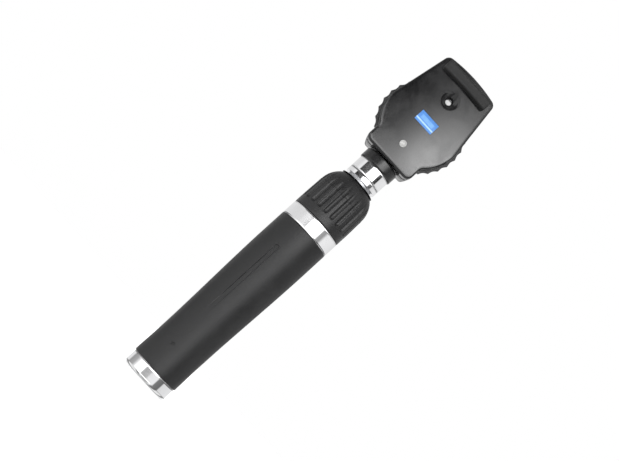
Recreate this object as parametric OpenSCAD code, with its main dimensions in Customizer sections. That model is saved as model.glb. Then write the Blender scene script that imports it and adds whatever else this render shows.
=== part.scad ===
// Direct ophthalmoscope on a two-cell battery handle.
// Frame: millimetres, +Z up the handle towards the head, origin at the centre of
// the end cap's flat bottom, the examiner's side (brow rest) faces -Y, +X is right.

/* [Handle] */
// Height of the end cap's rim
cap_h = 7.9; // [7.5:0.1:10]
// Outer radius of the end cap
cap_r = 14.2; // [14:0.1:14.4]
// Length of the grip sleeve
grip_h = 103.6; // [103:0.2:106]
// Grip radius at its waist
grip_waist_r = 14.5; // [14.4:0.1:15]
// Grip radius at its top
grip_top_r = 15.85; // [15.5:0.05:16.5]
// Height of the bright ring above the grip
ring_h = 8.55; // [8.3:0.05:9]
// Outer radius of the bright ring
ring_r = 15.8; // [15.5:0.05:16]
// Inside radius of the battery tube
tube_r = 13.45; // [13.4:0.05:13.5]
// Radius of one battery cell
cell_r = 12.95; // [12.5:0.05:13.1]
// Length of one battery cell
cell_h = 50; // [49:0.5:50]

/* [Rheostat] */
// Height of the rotary sleeve
rheo_h = 29.8; // [29.5:0.1:30]
// Radius of the sleeve's rounded shoulder
shoulder_r = 13.8; // [13.6:0.1:14]
// Number of finger flutes
flute_n = 21; // [12:1:24]
// Radius of one flute
flute_r = 1.4; // [0.8:0.1:1.6]

/* [Neck] */
// Radius of the two bright neck rings
neck_r = 10; // [9.6:0.1:10.2]
// Height of the neck ring that stays on the handle
neck_low_h = 4.65; // [4.4:0.05:4.8]
// Height of the neck ring that leaves with the head
neck_up_h = 7.4; // [7.3:0.05:7.6]
// Radius of the collar below the head
collar_r = 10.65; // [10.2:0.05:11]
// Height of the collar
collar_h = 5.8; // [5.6:0.1:6]
// Angle that the bayonet turns through to unlock
bayonet_turn = 60; // [50:5:65]

/* [Head] */
// Height of the head above the collar
head_h = 64.2; // [64:0.1:65]
// Radius of the head's flanks, concentric with the lens wheel
flank_r = 23.1; // [22.8:0.1:23.4]
// Inward lean of the upper flanks
flank_lean = 9; // [8.6:0.2:9.6]
// Half width of the lower block
block_w = 16.1; // [15.4:0.1:16.6]
// Radius of the long arc across the top
top_arc_r = 95; // [80:1:110]
// Distance from the handle's axis to the front face
front_y = 13.4; // [13.2:0.1:13.8]
// Distance from the handle's axis to the rear face
rear_y = 12.4; // [12.2:0.1:12.6]
// Wall thickness of the covers
wall = 1.8; // [1.6:0.1:2]
// Radius of the sight hole
sight_r = 2.2; // [1.8:0.1:2.3]

/* [Lens wheel] */
// Radius at the tips of the finger scallops
wheel_r = 24.85; // [24.6:0.05:25]
// Depth of the scallops
scallop_d = 0.8; // [0.4:0.1:1]
// Number of lens places, one scallop to each
lens_n = 29; // [25:1:29]
// Clear radius of one lens place
lens_r = 1.7; // [1.4:0.1:1.8]

/* [Aperture dial and filter] */
// Radius of the aperture dial
dial_r = 8.4; // [8.2:0.1:8.5]
// Number of apertures
aperture_n = 6; // [5:1:6]
// Angle that the filter lever swings through
filter_swing = 60; // [50:5:60]

/* [Hidden] */

eps = 0.01;     // overlap that keeps two unioned shapes one solid
gap = 0.15;     // face-to-face gap between moving pieces
run = 0.05;     // radial running clearance
fine = 96;      // segments of large rounds
small = 48;     // segments of small rounds

// Levels up the handle
z_grip = cap_h;
z_ring = z_grip + grip_h;
z_rheo = z_ring + ring_h;
z_neck = z_rheo + rheo_h;
z_seam = z_neck + neck_low_h;
z_collar = z_seam + neck_up_h;
z_head = z_collar + collar_h;
z_top = z_head + head_h;

// Heights in the head
wheel_z = z_head + 26.6;
lens_ring_r = 19.6;             // from the wheel's centre to each lens
sight_z = wheel_z + lens_ring_r;
number_r = 14.2;                // from the wheel's centre to the dial numbers
index_z = wheel_z - number_r;
index_r = 1.95;
badge_z = wheel_z + 2.7;
brow_z = z_head + 57.75;

// Battery compartment
tube_out_r = tube_r + 0.5;
cell_z = 14.5;
nub_h = 1.6;
nub_r = 3.2;
cells_top = cell_z + 2 * cell_h;
plate_z = z_rheo - 2.7;         // underside of the contact plate
flange_z = z_rheo - 0.9;        // underside of the core's flange
shaft_r = 8;
shaft_bore_r = 5.25;

// End cap
cap_floor = 2.2;
cap_edge_r = 1.8;
spigot_h = 5.8;
spigot_r = tube_r - 0.1;

// Rheostat sleeve
sleeve_in_r = 13.5;
shoulder_z = z_neck - 11.45;       // height of the shoulder arc's centre
shoulder_x = 15.47 - shoulder_r;
sleeve_top = z_neck - gap;
bush_r = 9.9;
bush_z = z_neck - 8.1;
bush_top = z_neck - 1.6;

// Bayonet
stud_r = 7.4;
lug_r = 8.35;
lug_n = 3;
lug_span = 24;
lug_z = z_seam + 3.4;
lug_h = 1.5;

// Contact pin
pin_r = 1.5;
pin_tip = z_collar + 0.45;
pin_collar_z = z_seam - 1.7;
pin_collar_r = 2.6;
chamber_r = 2.75;
terminal_z = z_neck - 8.3;      // top of the rod's head, where the spring sits

// Head, front to back
part_y = -7.4;                  // joint between the two covers
slot_y0 = -9.4;                 // the wheel's slot
slot_y1 = -5.4;
wheel_y0 = -8.8;                // the wheel
wheel_y1 = -6.0;
frame_y0 = -5.3;                // the chassis plate
frame_y1 = -4.3;
front_in = -front_y + wall;     // inner face of the front cover
rear_in = rear_y - wall;        // inner face of the rear cover
lip_drop = 0.7;                 // how far the rear cover hangs below the front one
front_z0 = z_head + lip_drop;

// Lamp and optics
lamp_r = 4.05;
tube_lens_r = 3.55;
tube_wall_r = 4.2;
dial_y = 5.6;                   // the dial's axis and the radius of its apertures
dial_z = z_head + 20.3;
dial_h = 2.4;
lever_x = 5.4;                  // the filter lever's axis
lever_y = 2.6;
lever_z = dial_z + dial_h + 0.7;
lever_h = 1;
shelf_low_z = z_head + 16.4;
shelf_top_z = lever_z + 1.8;
shelf_h = 1.6;
mirror_z = z_head + 39.6;
frame_top = z_head + 43;         // top of the chassis plate and of the mirror holder
mirror_w = 7;
window_z0 = z_head + 36.3;
window_z1 = z_head + 54;
window_w = 5.4;

// Screws that hold the rear cover: [x, z, the depth that the thread reaches]
screw_places = [for (s = [-1, 1]) each [[s * 10.5, z_top - 8.5, front_in - 0.6],
    [s * 6.5, z_head + 8.7, frame_y0]]];

// ---------- helpers ----------

function smooth(t) = let(u = max(0, min(1, t))) u * u * (3 - 2 * u);

// n + 1 points along an arc in the plane
function arc(c, r, a0, a1, n) = [for (i = [0:n]) let(a = a0 + (a1 - a0) * i / n)
    [c[0] + r * cos(a), c[1] + r * sin(a)]];

// Grip radius at height z: a slight flare down to the cap, a long swell to the top
function grip_radius(z) = z < 24
    ? grip_waist_r + 0.2 * smooth((24 - z) / 16)
    : grip_waist_r + (grip_top_r - grip_waist_r) * smooth((z - 24) / 74);

// Right half of the head's outline, drawn inwards by i, with its bottom at z0
function head_half(i, z0) =
    let(rc = max(1.2, 3.6 - i), bw = block_w - i, rf = flank_r - i, re = 4 + i,
        rt = max(1.2, 3.5 - i), ra = top_arc_r - i,
        cx = bw + re, cz = wheel_z - sqrt(pow(rf + re, 2) - cx * cx),
        az = z_top - top_arc_r, t0 = flank_lean,
        // corner centre: rt inside the flank line and ra - rt from the top arc's centre
        px = (rf - rt) * cos(t0), pz = wheel_z - az + (rf - rt) * sin(t0),
        b = -px * sin(t0) + pz * cos(t0),
        t = -b + sqrt(b * b - (px * px + pz * pz - pow(ra - rt, 2))),
        kx = px - t * sin(t0), kz = az + pz + t * cos(t0),
        a_top = atan2(kz - az, kx), a_blend = atan2(cz - wheel_z, cx))
    concat(arc([bw - rc, z0 + i + rc], rc, -90, 0, 4),
        arc([cx, cz], re, 180, 180 + a_blend, 4),
        [for (p = arc([0, wheel_z], rf, a_blend, t0, 12)) if (p[0] > 0) p],
        arc([kx, kz], rt, t0, a_top, 4),
        arc([0, az], ra, a_top, 90, 3));

function mirrored(p) = [for (k = [len(p) - 2:-1:0]) [-p[k][0], p[k][1]]];
function head_outline(i, z0) = let(h = head_half(i, z0)) concat(h, mirrored(h));

// Slab of the head's outline, drawn inwards by i, from depth y0 to y1
module head_slab(i, z0, y0, y1) translate([0, y1, 0]) rotate([90, 0, 0])
    linear_extrude(y1 - y0) polygon(head_outline(i, z0));

// Stepped block: each step is [depth where it starts, inset], and the last ends at y_end
module head_steps(steps, z0, y_end) for (k = [0:len(steps) - 1])
    head_slab(steps[k][1], z0, steps[k][0],
        k == len(steps) - 1 ? y_end : steps[k + 1][0] + eps);

// Cylinder along Y from y0 to y1, centred on x, z
module rod_y(x, z, r, y0, y1, f = small)
    translate([x, y1, z]) rotate([90, 0, 0]) cylinder(r = r, h = y1 - y0, $fn = f);

// Tube standing on z0
module tube(r_out, r_in, z0, z1, f = fine) difference() {
    translate([0, 0, z0]) cylinder(r = r_out, h = z1 - z0, $fn = f);
    translate([0, 0, z0 - 1]) cylinder(r = r_in, h = z1 - z0 + 2, $fn = f);
}

module disc(r, z0, z1, f = fine) translate([0, 0, z0]) cylinder(r = r, h = z1 - z0, $fn = f);

// Box from its two corners
module box(a, b) translate(a) cube(b - a);

// Coil of round wire: radius r0 at height z0, r1 at z1
module coil(r0, r1, z0, z1, turns, wire) {
    steps = turns * 18;
    sides = 6;
    pts = [for (i = [0:steps], k = [0:sides - 1])
        let(a = 360 * turns * i / steps, r = r0 + (r1 - r0) * i / steps,
            z = z0 + (z1 - z0) * smooth(i / steps), b = 360 * k / sides,
            q = r + wire * cos(b))
        [q * cos(a), q * sin(a), z + wire * sin(b)]];
    polyhedron(points = pts, faces = concat(
        [[for (k = [0:sides - 1]) k]],
        [for (i = [0:steps - 1], k = [0:sides - 1]) let(m = (k + 1) % sides)
            each [[i * sides + k, (i + 1) * sides + k, (i + 1) * sides + m],
                  [i * sides + k, (i + 1) * sides + m, i * sides + m]]],
        [[for (k = [0:sides - 1]) steps * sides + sides - 1 - k]]));
}

// ---------- handle ----------

module battery_tube() color("silver") difference() {
    tube(tube_out_r, tube_r, z_grip + run, z_rheo);
    // relief where the cap's thread starts
    translate([0, 0, z_grip]) cylinder(r1 = tube_r + 0.3, r2 = tube_r, h = 1.2, $fn = fine);
}

module grip_sleeve() color("#3c3c3c") difference() {
    z0 = z_grip + run;
    n = 26;
    rotate_extrude($fn = fine) polygon(concat(
        [[tube_out_r, z0]],
        [for (i = [0:n]) let(z = z0 + (z_ring - z0) * i / n) [grip_radius(z), z]],
        [[tube_out_r, z_ring]]));
    // long shallow channel on the front
    channel_x = -4.6;
    channel_w = 2.4;
    channel_z0 = 50;
    channel_z1 = 96;
    translate([channel_x - channel_w / 2, -grip_top_r - 1, channel_z0])
        cube([channel_w, grip_top_r + 1 - 14.5, channel_z1 - channel_z0]);
}

module ring_band() color("gainsboro") {
    edge = 0.25;
    rotate_extrude($fn = fine) polygon([[tube_out_r, z_ring], [ring_r - edge, z_ring],
        [ring_r, z_ring + edge], [ring_r, z_rheo - edge], [ring_r - edge, z_rheo],
        [tube_out_r, z_rheo]]);
}

module cell(z0) {
    edge = 0.6;
    rotate_extrude($fn = fine) polygon([[0, z0], [cell_r - edge, z0], [cell_r, z0 + edge],
        [cell_r, z0 + cell_h - nub_h - edge], [cell_r - edge, z0 + cell_h - nub_h],
        [nub_r, z0 + cell_h - nub_h], [nub_r, z0 + cell_h], [0, z0 + cell_h]]);
}

module cell_lower() color("slategray") cell(cell_z);
module cell_upper() color("slategray") cell(cell_z + cell_h);

module screw_ring(r, count) for (k = [0:count - 1])
    rotate([0, 0, 30 + 360 * k / count]) translate([r, 0, 0]) children();

module contact_plate() color("peru") difference() {
    disc(tube_r - run, plate_z, flange_z);
    disc(2.5, plate_z - 1, flange_z + 1, small);
    screw_ring(10.4, 3) disc(0.95, plate_z - 1, flange_z + 1, 24);
}

module battery_contact() color("goldenrod") {
    disc(2.45, cells_top, flange_z, small);
}

module core_screws() color("silver") screw_ring(10.4, 3) {
    disc(0.9, plate_z - eps, flange_z + 1.6, 24);
    disc(1.7, plate_z - 1, plate_z, 24);
}

module handle_core() color("dimgray") difference() {
    union() {
        disc(tube_r - run, flange_z, z_rheo);
        disc(12.8, z_rheo - eps, z_rheo + 1.7);
        disc(shaft_r, z_rheo, z_neck + 1.8);
    }
    disc(shaft_bore_r, flange_z - 1, z_neck + 3);
    screw_ring(10.4, 3) disc(0.95, flange_z - 1, flange_z + 1.7, 24);
}

module feed_rod() color("goldenrod") {
    disc(1.2, flange_z, terminal_z - 1.2 + eps, 24);
    disc(2.6, terminal_z - 1.2, terminal_z, small);
}

module rheostat_track() color("tan") translate([0, 0, z_rheo + 1.7])
    rotate([0, 0, -125]) rotate_extrude(angle = 250, $fn = fine)
        polygon([[9.6, 0], [12.4, 0], [12.4, 1.6], [9.6, 1.6]]);

module collector_ring() color("goldenrod")
    tube(8.9, shaft_r + 0.02, z_rheo + 5.1, z_rheo + 6.1);

module handle_neck() color("gainsboro") difference() {
    union() {
        rotate_extrude($fn = fine) polygon([[shaft_bore_r, z_neck], [neck_r - 0.2, z_neck],
            [neck_r, z_neck + 0.2], [neck_r, z_seam - 0.25], [neck_r - 0.25, z_seam],
            [shaft_bore_r, z_seam]]);
        tube(stud_r, shaft_bore_r, z_seam - eps, z_collar - 0.9);
        for (k = [0:lug_n - 1]) rotate([0, 0, 360 * k / lug_n - lug_span / 2])
            translate([0, 0, lug_z]) rotate_extrude(angle = lug_span, $fn = fine)
                polygon([[stud_r - 0.2, 0], [lug_r, 0], [lug_r, lug_h],
                    [stud_r - 0.2, lug_h]]);
    }
    disc(shaft_r + 0.02, z_neck - 1, z_neck + 1.82);
}

module insulator_bush() color("ivory") difference() {
    disc(shaft_bore_r - 0.02, terminal_z - 1.3, z_collar - 0.9, small);
    disc(chamber_r, terminal_z - 2, pin_collar_z + 1.05, small);
    disc(pin_r + run, terminal_z, z_collar, small);
}

module pin_spring() color("silver")
    coil(2.2, 2.2, terminal_z + 0.3, pin_collar_z - 0.3, 6, 0.22);

module contact_pin() color("gold") {
    disc(pin_collar_r, pin_collar_z, pin_collar_z + 1, small);
    disc(pin_r, pin_collar_z + 1 - eps, pin_tip - pin_r, small);
    translate([0, 0, pin_tip - pin_r]) sphere(r = pin_r, $fn = small);
}

// ---------- rheostat ----------

module rheostat_sleeve() color("#3a3a3a") difference() {
    rotate_extrude($fn = fine) polygon(concat(
        [[sleeve_in_r, z_rheo + gap], [ring_r - 0.3, z_rheo + gap],
            [ring_r, z_rheo + gap + 0.3]],
        arc([shoulder_x, shoulder_z], shoulder_r, 0,
            asin((sleeve_top - shoulder_z) / shoulder_r), 12),
        [[shaft_r + 0.4, sleeve_top], [shaft_r + 0.4, bush_top], [bush_r, bush_top],
            [bush_r, bush_z + 1.2], [sleeve_in_r, bush_z - 2.6]]));
    for (k = [0:flute_n - 1]) rotate([0, 0, 360 * (k + 0.5) / flute_n])
        translate([ring_r + 0.4, 0, z_rheo + 7.6]) {
            cylinder(r = flute_r, h = 15, $fn = 32);
            sphere(r = flute_r, $fn = 32);
        }
}

module sleeve_bush() color("ivory") tube(bush_r - 0.02, shaft_r + run, bush_z + 1.25, bush_top);

module wiper_carrier() color("darkolivegreen")
    tube(sleeve_in_r - 0.02, 10.2, z_rheo + 8, z_rheo + 10.5);

module wiper() color("orange") {
    strip = 0.4;
    track_top = z_rheo + 3.3;
    under = z_rheo + 8;
    // foot under the carrier, leg down to the track, finger across to the collector
    box([-12.6, -1.2, under - strip], [-10.4, 1.2, under]);
    box([-11.4, -1.2, track_top + run], [-11, 1.2, under - strip + eps]);
    box([-11.4 + eps, -1.2, z_rheo + 5.4], [-8.9 - run, 1.2, z_rheo + 5.8]);
}

// ---------- end cap ----------

module end_cap() color("gainsboro") difference() {
    top = z_grip - 0.1;
    rotate_extrude($fn = fine) polygon(concat(
        [[0, 0]],
        arc([cap_r - cap_edge_r, cap_edge_r], cap_edge_r, -90, 0, 6),
        [[cap_r, top], [spigot_r, top], [spigot_r, top + 0.7], [spigot_r - 0.75, top + 0.7],
            [spigot_r - 0.75, top + 1.9]],
        // thread crests
        [for (k = [0:2]) each [[spigot_r, top + 2.1 + 1.25 * k],
            [spigot_r, top + 2.6 + 1.25 * k], [spigot_r - 0.4, top + 2.9 + 1.25 * k],
            [spigot_r - 0.4, top + 3.1 + 1.25 * k]]],
        [[spigot_r - 0.4, top + spigot_h], [11.8, top + spigot_h], [11.8, cap_floor],
            [0, cap_floor]]));
    // shallow ring turned into the bottom face
    tube(10.4, 9.6, -0.5, 0.35);
}

module cap_seal() color("#222222") translate([0, 0, z_grip + 1.2])
    rotate_extrude($fn = fine) translate([spigot_r - 0.36, 0]) circle(r = 0.38, $fn = 24);

module battery_spring() color("silver")
    coil(9, 4.5, cap_floor + 0.65, cell_z - 0.65, 5, 0.55);

// ---------- neck ----------

module neck_socket() color("gainsboro") difference() {
    z0 = z_seam + gap;
    groove_r = lug_r + 0.1;
    slot_span = lug_span + 6;
    rotate_extrude($fn = fine) polygon([[stud_r + 0.1, z0], [neck_r - 0.25, z0],
        [neck_r, z0 + 0.25], [neck_r, z_collar], [4.9, z_collar], [4.9, z_collar - 0.7],
        [stud_r + 0.1, z_collar - 0.7]]);
    // groove that the lugs turn in, and the slots that let them enter
    tube(groove_r, stud_r, lug_z - 0.2, lug_z + lug_h + 0.2);
    for (k = [0:lug_n - 1])
        rotate([0, 0, 360 * k / lug_n - bayonet_turn - slot_span / 2])
            translate([0, 0, z0 - 1]) rotate_extrude(angle = slot_span, $fn = fine)
                polygon([[stud_r, 0], [groove_r, 0], [groove_r, lug_z - z0 + 1.5],
                    [stud_r, lug_z - z0 + 1.5]]);
}

module neck_collar() color("#1c1c1c") difference() {
    union() {
        rotate_extrude($fn = fine) polygon([[lamp_r + run, z_collar], [collar_r - 0.7, z_collar],
            [collar_r, z_collar + 0.7], [collar_r, z_head - 0.35], [collar_r - 0.35, z_head],
            [lamp_r + run, z_head]]);
        intersection() {
            disc(7, z_head - eps, z_head + wall - 0.1);
            box([-8, frame_y0, z_head - 1], [8, 8, z_head + 3]);
        }
    }
    disc(lamp_r + run, z_collar - 1, z_head + 3, small);
    disc(4.75, z_collar - 1, z_collar + 1.4, small);
}

// ---------- lamp and optics ----------

module lamp_base() color("goldenrod") {
    disc(4.65, z_collar + 0.6, z_collar + 1.3, small);
    disc(lamp_r, z_collar + 1.3 - eps, z_head + 3.4, small);
}

module lamp_bulb() color([0.85, 0.92, 1, 0.6]) {
    disc(2.9, z_head + 3.4, z_head + 7.2, small);
    translate([0, 0, z_head + 7.2]) sphere(r = 2.9, $fn = small);
}

module chassis() color("darkgray") difference() {
    union() {
        // upright plate behind the lens wheel
        box([-11.5, frame_y0, z_head + wall], [11.5, frame_y1, frame_top]);
        // foot on the collar
        intersection() {
            disc(8.2, z_head + wall, z_head + wall + 1.6);
            box([-9, frame_y0, z_head], [9, 9, z_head + 6]);
        }
        box([-6, frame_y1 - eps, shelf_low_z], [6, 8.2, shelf_low_z + shelf_h]);
        box([-9, frame_y1 - eps, shelf_top_z], [9, 6, shelf_top_z + shelf_h]);
    }
    disc(lamp_r + 0.1, z_head, z_head + 6, small);
    disc(tube_wall_r + 0.02, shelf_low_z - 1, shelf_low_z + shelf_h + 1, small);
    disc(tube_wall_r + 0.02, shelf_top_z - 1, shelf_top_z + shelf_h + 1, small);
    rod_y(0, wheel_z, 2.02, frame_y0 - 1, frame_y1 + 1);
    rod_y(8.2, wheel_z - 4.8, 0.8, frame_y0 - 1, frame_y1 + 1);
    translate([0, dial_y, 0]) disc(1.02, shelf_low_z - 1, shelf_low_z + 3, small);
    translate([lever_x, lever_y, 0]) disc(0.82, shelf_top_z - 1, shelf_top_z + 3, small);
    for (p = screw_places) rod_y(p[0], p[1], 0.75, frame_y0 - 1, frame_y1 + 1, 24);
}

module condenser_tube() color("#303030") tube(tube_wall_r, tube_lens_r, z_head + 11.2,
    dial_z - 0.4, small);

// Round lens with one flat and one bulging face, its flat side down
module plano_lens(r, z0, edge, rise) {
    ball = (r * r + rise * rise) / (2 * rise);
    intersection() {
        disc(r, z0, z0 + edge + rise, small);
        translate([0, 0, z0 + edge + rise - ball]) sphere(r = ball, $fn = fine);
    }
}

module condenser_lens() color([0.8, 0.9, 1, 0.5])
    plano_lens(tube_lens_r - 0.03, z_head + 13, 1.2, 1.4);

module objective_tube() color("#303030")
    tube(tube_wall_r, tube_lens_r, shelf_top_z, z_head + 32.2, small);

module objective_lens() color([0.8, 0.9, 1, 0.5])
    plano_lens(tube_lens_r - 0.03, z_head + 28.6, 1.2, 1);

// 45 degree wedge behind the mirror, standing on the chassis plate
module mirror_holder() color("#252525") {
    half = mirror_w / 2 + 0.4;
    back = frame_y1 + 0.02;
    step = 1.45;
    translate([-half, 0, 0]) rotate([90, 0, 90]) linear_extrude(2 * half)
        polygon([[back, mirror_z + back + step], [frame_top - mirror_z - step, frame_top],
            [back, frame_top]]);
}

module mirror() color([0.9, 0.95, 1]) translate([0, 0, mirror_z + 0.01]) rotate([45, 0, 0])
    translate([-mirror_w / 2, -3.9, 0]) cube([mirror_w, 7.8, 1]);

// ---------- covers ----------

module wheel_slot() rod_y(0, wheel_z, wheel_r + 0.5, slot_y0, slot_y1, fine);

module front_cover() color("#2c2c2c") difference() {
    union() {
        head_slab(0.8, front_z0, -front_y, part_y - 1);
        head_slab(0, front_z0, -front_y + 0.7, part_y);
    }
    head_slab(wall, front_z0, front_in, part_y + 1);
    wheel_slot();
    rod_y(0, sight_z, 5.4, -front_y - 1, front_in + 1);
    rod_y(0, index_z, index_r + 0.03, -front_y - 1, front_in + 1);
    translate([-6.1, -front_y - 0.5, badge_z - 3.3]) cube([12.2, 0.8, 6.6]);
    for (p = screw_places) if (p[2] < part_y) rod_y(p[0], p[1], 0.75, p[2] - 0.2, part_y, 24);
}

module rear_cover() color("#262626") difference() {
    head_steps([[part_y + 0.02, 0.25], [3, 0.8], [7.5, 1.7], [10.4, 3.2]], z_head, rear_y);
    head_steps([[part_y - 1, wall + 0.7], [5.5, wall + 1.6], [8.6, wall + 3.1]], z_head, rear_in);
    wheel_slot();
    // seat of the chassis foot and plate, and the hole for the collar's spigot
    disc(7.1, z_head - 1, z_head + wall + 1);
    disc(8.4, z_head + wall - 0.02, z_head + wall + 2);
    box([-11.7, frame_y0 - 0.2, z_head + wall - 0.02], [11.7, frame_y1 + 0.2, z_head + 6]);
    // slots for the aperture dial and the filter lever
    translate([0, dial_y, 0]) disc(dial_r + 0.4, dial_z - 0.4, dial_z + dial_h + 0.4);
    intersection() {
        translate([lever_x, lever_y, 0]) disc(15.2, lever_z - 0.3, lever_z + lever_h + 0.3);
        box([-4.6, rear_in - 1.5, lever_z - 1], [14.8, rear_y + 2, lever_z + 2]);
    }
    // window and screw holes
    box([-window_w, rear_in - 2, window_z0], [window_w, rear_y + 1, window_z1]);
    for (p = screw_places) {
        rod_y(p[0], p[1], 0.85, rear_in - 3, rear_y + 1, 24);
        rod_y(p[0], p[1], 1.7, rear_y - 1, rear_y + 1, 24);
    }
}

module brow_rest() color("#232323") {
    w = 15.4;
    h = 6.5;
    depth = 4.5;
    r = 1.4;
    translate([0, -front_y, brow_z]) rotate([90, 0, 0]) hull() {
        for (x = [-w + r, w - r], z = [-h / 2 + r + 0.2, h / 2 - r])
            translate([x, z, 0]) cylinder(r = r, h = depth - 1, $fn = 24);
        translate([0, 0, depth - 0.5]) cube([2 * w - 2.6, h - 1.6, 1], center = true);
    }
}

module sight_bush() color("#1a1a1a") translate([0, 0, sight_z]) rotate([90, 0, 0])
    rotate_extrude($fn = fine) polygon([[sight_r, front_y - 3.7], [3.2, front_y - 3.7],
        [5.35, front_y - 2], [5.35, front_y + 0.05], [4.9, front_y + 0.05],
        [4.2, front_y - 0.8], [3.3, front_y - 1.8], [2.6, front_y - 2.4],
        [sight_r, front_y - 2.5]]);

module badge() color("cornflowerblue")
    translate([-6, -front_y - 0.15, badge_z - 3.2]) cube([12, 0.4, 6.4]);

// Little domed magnifier
module index_window() color([1, 1, 1, 0.8]) {
    dome_r = 3;
    rim_y = -front_y - 0.05;
    rod_y(0, index_z, index_r, rim_y, front_in + 0.1);
    intersection() {
        translate([0, rim_y + sqrt(dome_r * dome_r - index_r * index_r), index_z])
            sphere(r = dome_r, $fn = small);
        rod_y(0, index_z, index_r, rim_y - 1, rim_y + eps);
    }
}

module patient_window() color([0.8, 0.9, 1, 0.4])
    box([-window_w + 0.85, rear_in + 0.2, window_z0 + 0.85],
        [window_w - 0.85, rear_in + 1, window_z1 - 0.85]);

module window_bezel() color("#151515") difference() {
    box([-window_w + 0.02, rear_in - 0.6, window_z0 + 0.02],
        [window_w - 0.02, rear_y - 0.2, window_z1 - 0.02]);
    box([-window_w + 0.8, rear_in + 0.2, window_z0 + 0.8],
        [window_w - 0.8, rear_y + 1, window_z1 - 0.8]);
    box([-window_w + 1.4, rear_in - 2, window_z0 + 1.4],
        [window_w - 1.4, rear_y, window_z1 - 1.4]);
}

module cover_screws() color("silver") for (p = screw_places) {
    rod_y(p[0], p[1], 1.6, rear_y - 1, rear_y - 0.1, 24);
    rod_y(p[0], p[1], 0.7, p[2], rear_y - 1 + eps, 24);
}

// ---------- lens wheel ----------

module wheel_axle() color("silver") {
    rod_y(0, wheel_z, 2, -9.25, frame_y1);
    rod_y(0, wheel_z, 1.5, -9.65, -9.25 + eps);
    rod_y(0, wheel_z, 2, -10.6, -9.65 + eps);
}

module axle_washer() color("gold") difference() {
    rod_y(0, wheel_z, 3.8, wheel_y1 + run, frame_y0 - 0.02);
    rod_y(0, wheel_z, 2.02, wheel_y1 - 1, frame_y0 + 1);
}

module axle_clip() color("gray") difference() {
    rod_y(0, wheel_z, 3.3, -9.62, -9.28);
    rod_y(0, wheel_z, 1.52, -10, -9);
    box([-1.3, -10, wheel_z - 4], [1.3, -9, wheel_z]);
}

module detent_spring() color("silver")
    box([6.9, frame_y1 + 0.01, wheel_z - 13.6], [9.5, frame_y1 + 0.21, wheel_z - 3.8]);

module detent_ball() color("silver")
    translate([8.2, frame_y0 + run, wheel_z - 4.8]) sphere(r = 0.7, $fn = 32);

module at_lenses() for (k = [0:lens_n - 1])
    translate([0, 0, wheel_z]) rotate([0, 360 * k / lens_n, 0]) translate([0, 0, lens_ring_r])
        children();

module lens_wheel() color("#202020") difference() {
    translate([0, wheel_y1, wheel_z]) rotate([90, 0, 0]) linear_extrude(wheel_y1 - wheel_y0)
        polygon([for (k = [0:8 * lens_n - 1]) let(a = 360 * k / (8 * lens_n),
            r = wheel_r - scallop_d / 2 + scallop_d / 2 * cos(lens_n * a))
            [r * sin(a), r * cos(a)]]);
    rod_y(0, wheel_z, 2 + run, wheel_y0 - 1, wheel_y1 + 1);
    at_lenses() rod_y(0, 0, lens_r + 0.1, wheel_y0 - 1, wheel_y1 + 1, 24);
}

module lens_set() color([0.8, 0.9, 1, 0.5]) for (k = [1:lens_n - 1])
    translate([0, 0, wheel_z]) rotate([0, 360 * k / lens_n, 0])
        rod_y(0, lens_ring_r, lens_r + 0.08, wheel_y0 + 0.4, wheel_y0 + 1.2 + 0.03 * k, 24);

module lens_retainer() color("#404040") difference() {
    rod_y(0, wheel_z, 21.9, wheel_y0 - 0.25, wheel_y0, fine);
    rod_y(0, wheel_z, 17.2, wheel_y0 - 1, wheel_y0 + 1, fine);
    at_lenses() rod_y(0, 0, lens_r, wheel_y0 - 1, wheel_y0 + 1, 24);
}

module number_ring() color("white") difference() {
    rod_y(0, wheel_z, 16.2, wheel_y0 - 0.2, wheel_y0, fine);
    rod_y(0, wheel_z, 12.2, wheel_y0 - 1, wheel_y0 + 1, fine);
}

// ---------- aperture dial and filter ----------

module aperture_axle() color("silver") translate([0, dial_y, 0]) {
    disc(1, shelf_low_z, dial_z + dial_h + 0.3, small);
    disc(1.35, shelf_low_z - 0.8, shelf_low_z, small);
}

module at_aperture(k) translate([0, dial_y, 0]) rotate([0, 0, 360 * k / aperture_n])
    translate([0, -dial_y, 0]) children();

module aperture_dial() color("#202020") difference() {
    translate([0, dial_y, dial_z]) linear_extrude(dial_h)
        polygon([for (k = [0:6 * 30 - 1]) let(a = 360 * k / 180,
            r = dial_r - 0.2 + 0.2 * cos(30 * a)) [r * cos(a), r * sin(a)]]);
    translate([0, dial_y, 0]) disc(1 + run, dial_z - 1, dial_z + 4, small);
    translate([0, dial_y, 0]) disc(dial_r - 0.7, dial_z - 1, dial_z + 0.3);
    for (k = [0:aperture_n - 1]) at_aperture(k) disc(2.3, dial_z - 1, dial_z + 4, small);
}

module aperture_disc() color("darkgray") difference() {
    translate([0, dial_y, 0]) disc(dial_r - 0.75, dial_z, dial_z + 0.28);
    translate([0, dial_y, 0]) disc(1 + run, dial_z - 1, dial_z + 1, small);
    // from the widest beam down to the narrowest
    for (k = [0:aperture_n - 1]) at_aperture(k)
        disc(2.1 - 0.32 * k, dial_z - 1, dial_z + 1, 32);
}

module filter_axle() color("silver") translate([lever_x, lever_y, 0]) {
    disc(0.8, lever_z - 0.1, shelf_top_z + shelf_h, small);
    disc(1.5, lever_z - 0.45, lever_z - 0.1, small);
}

// The lever is drawn with its filter swung out of the light path
module filter_arm_frame() translate([lever_x, lever_y, 0])
    rotate([0, 0, 180 + atan2(lever_y, lever_x) - filter_swing]) children();

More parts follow.
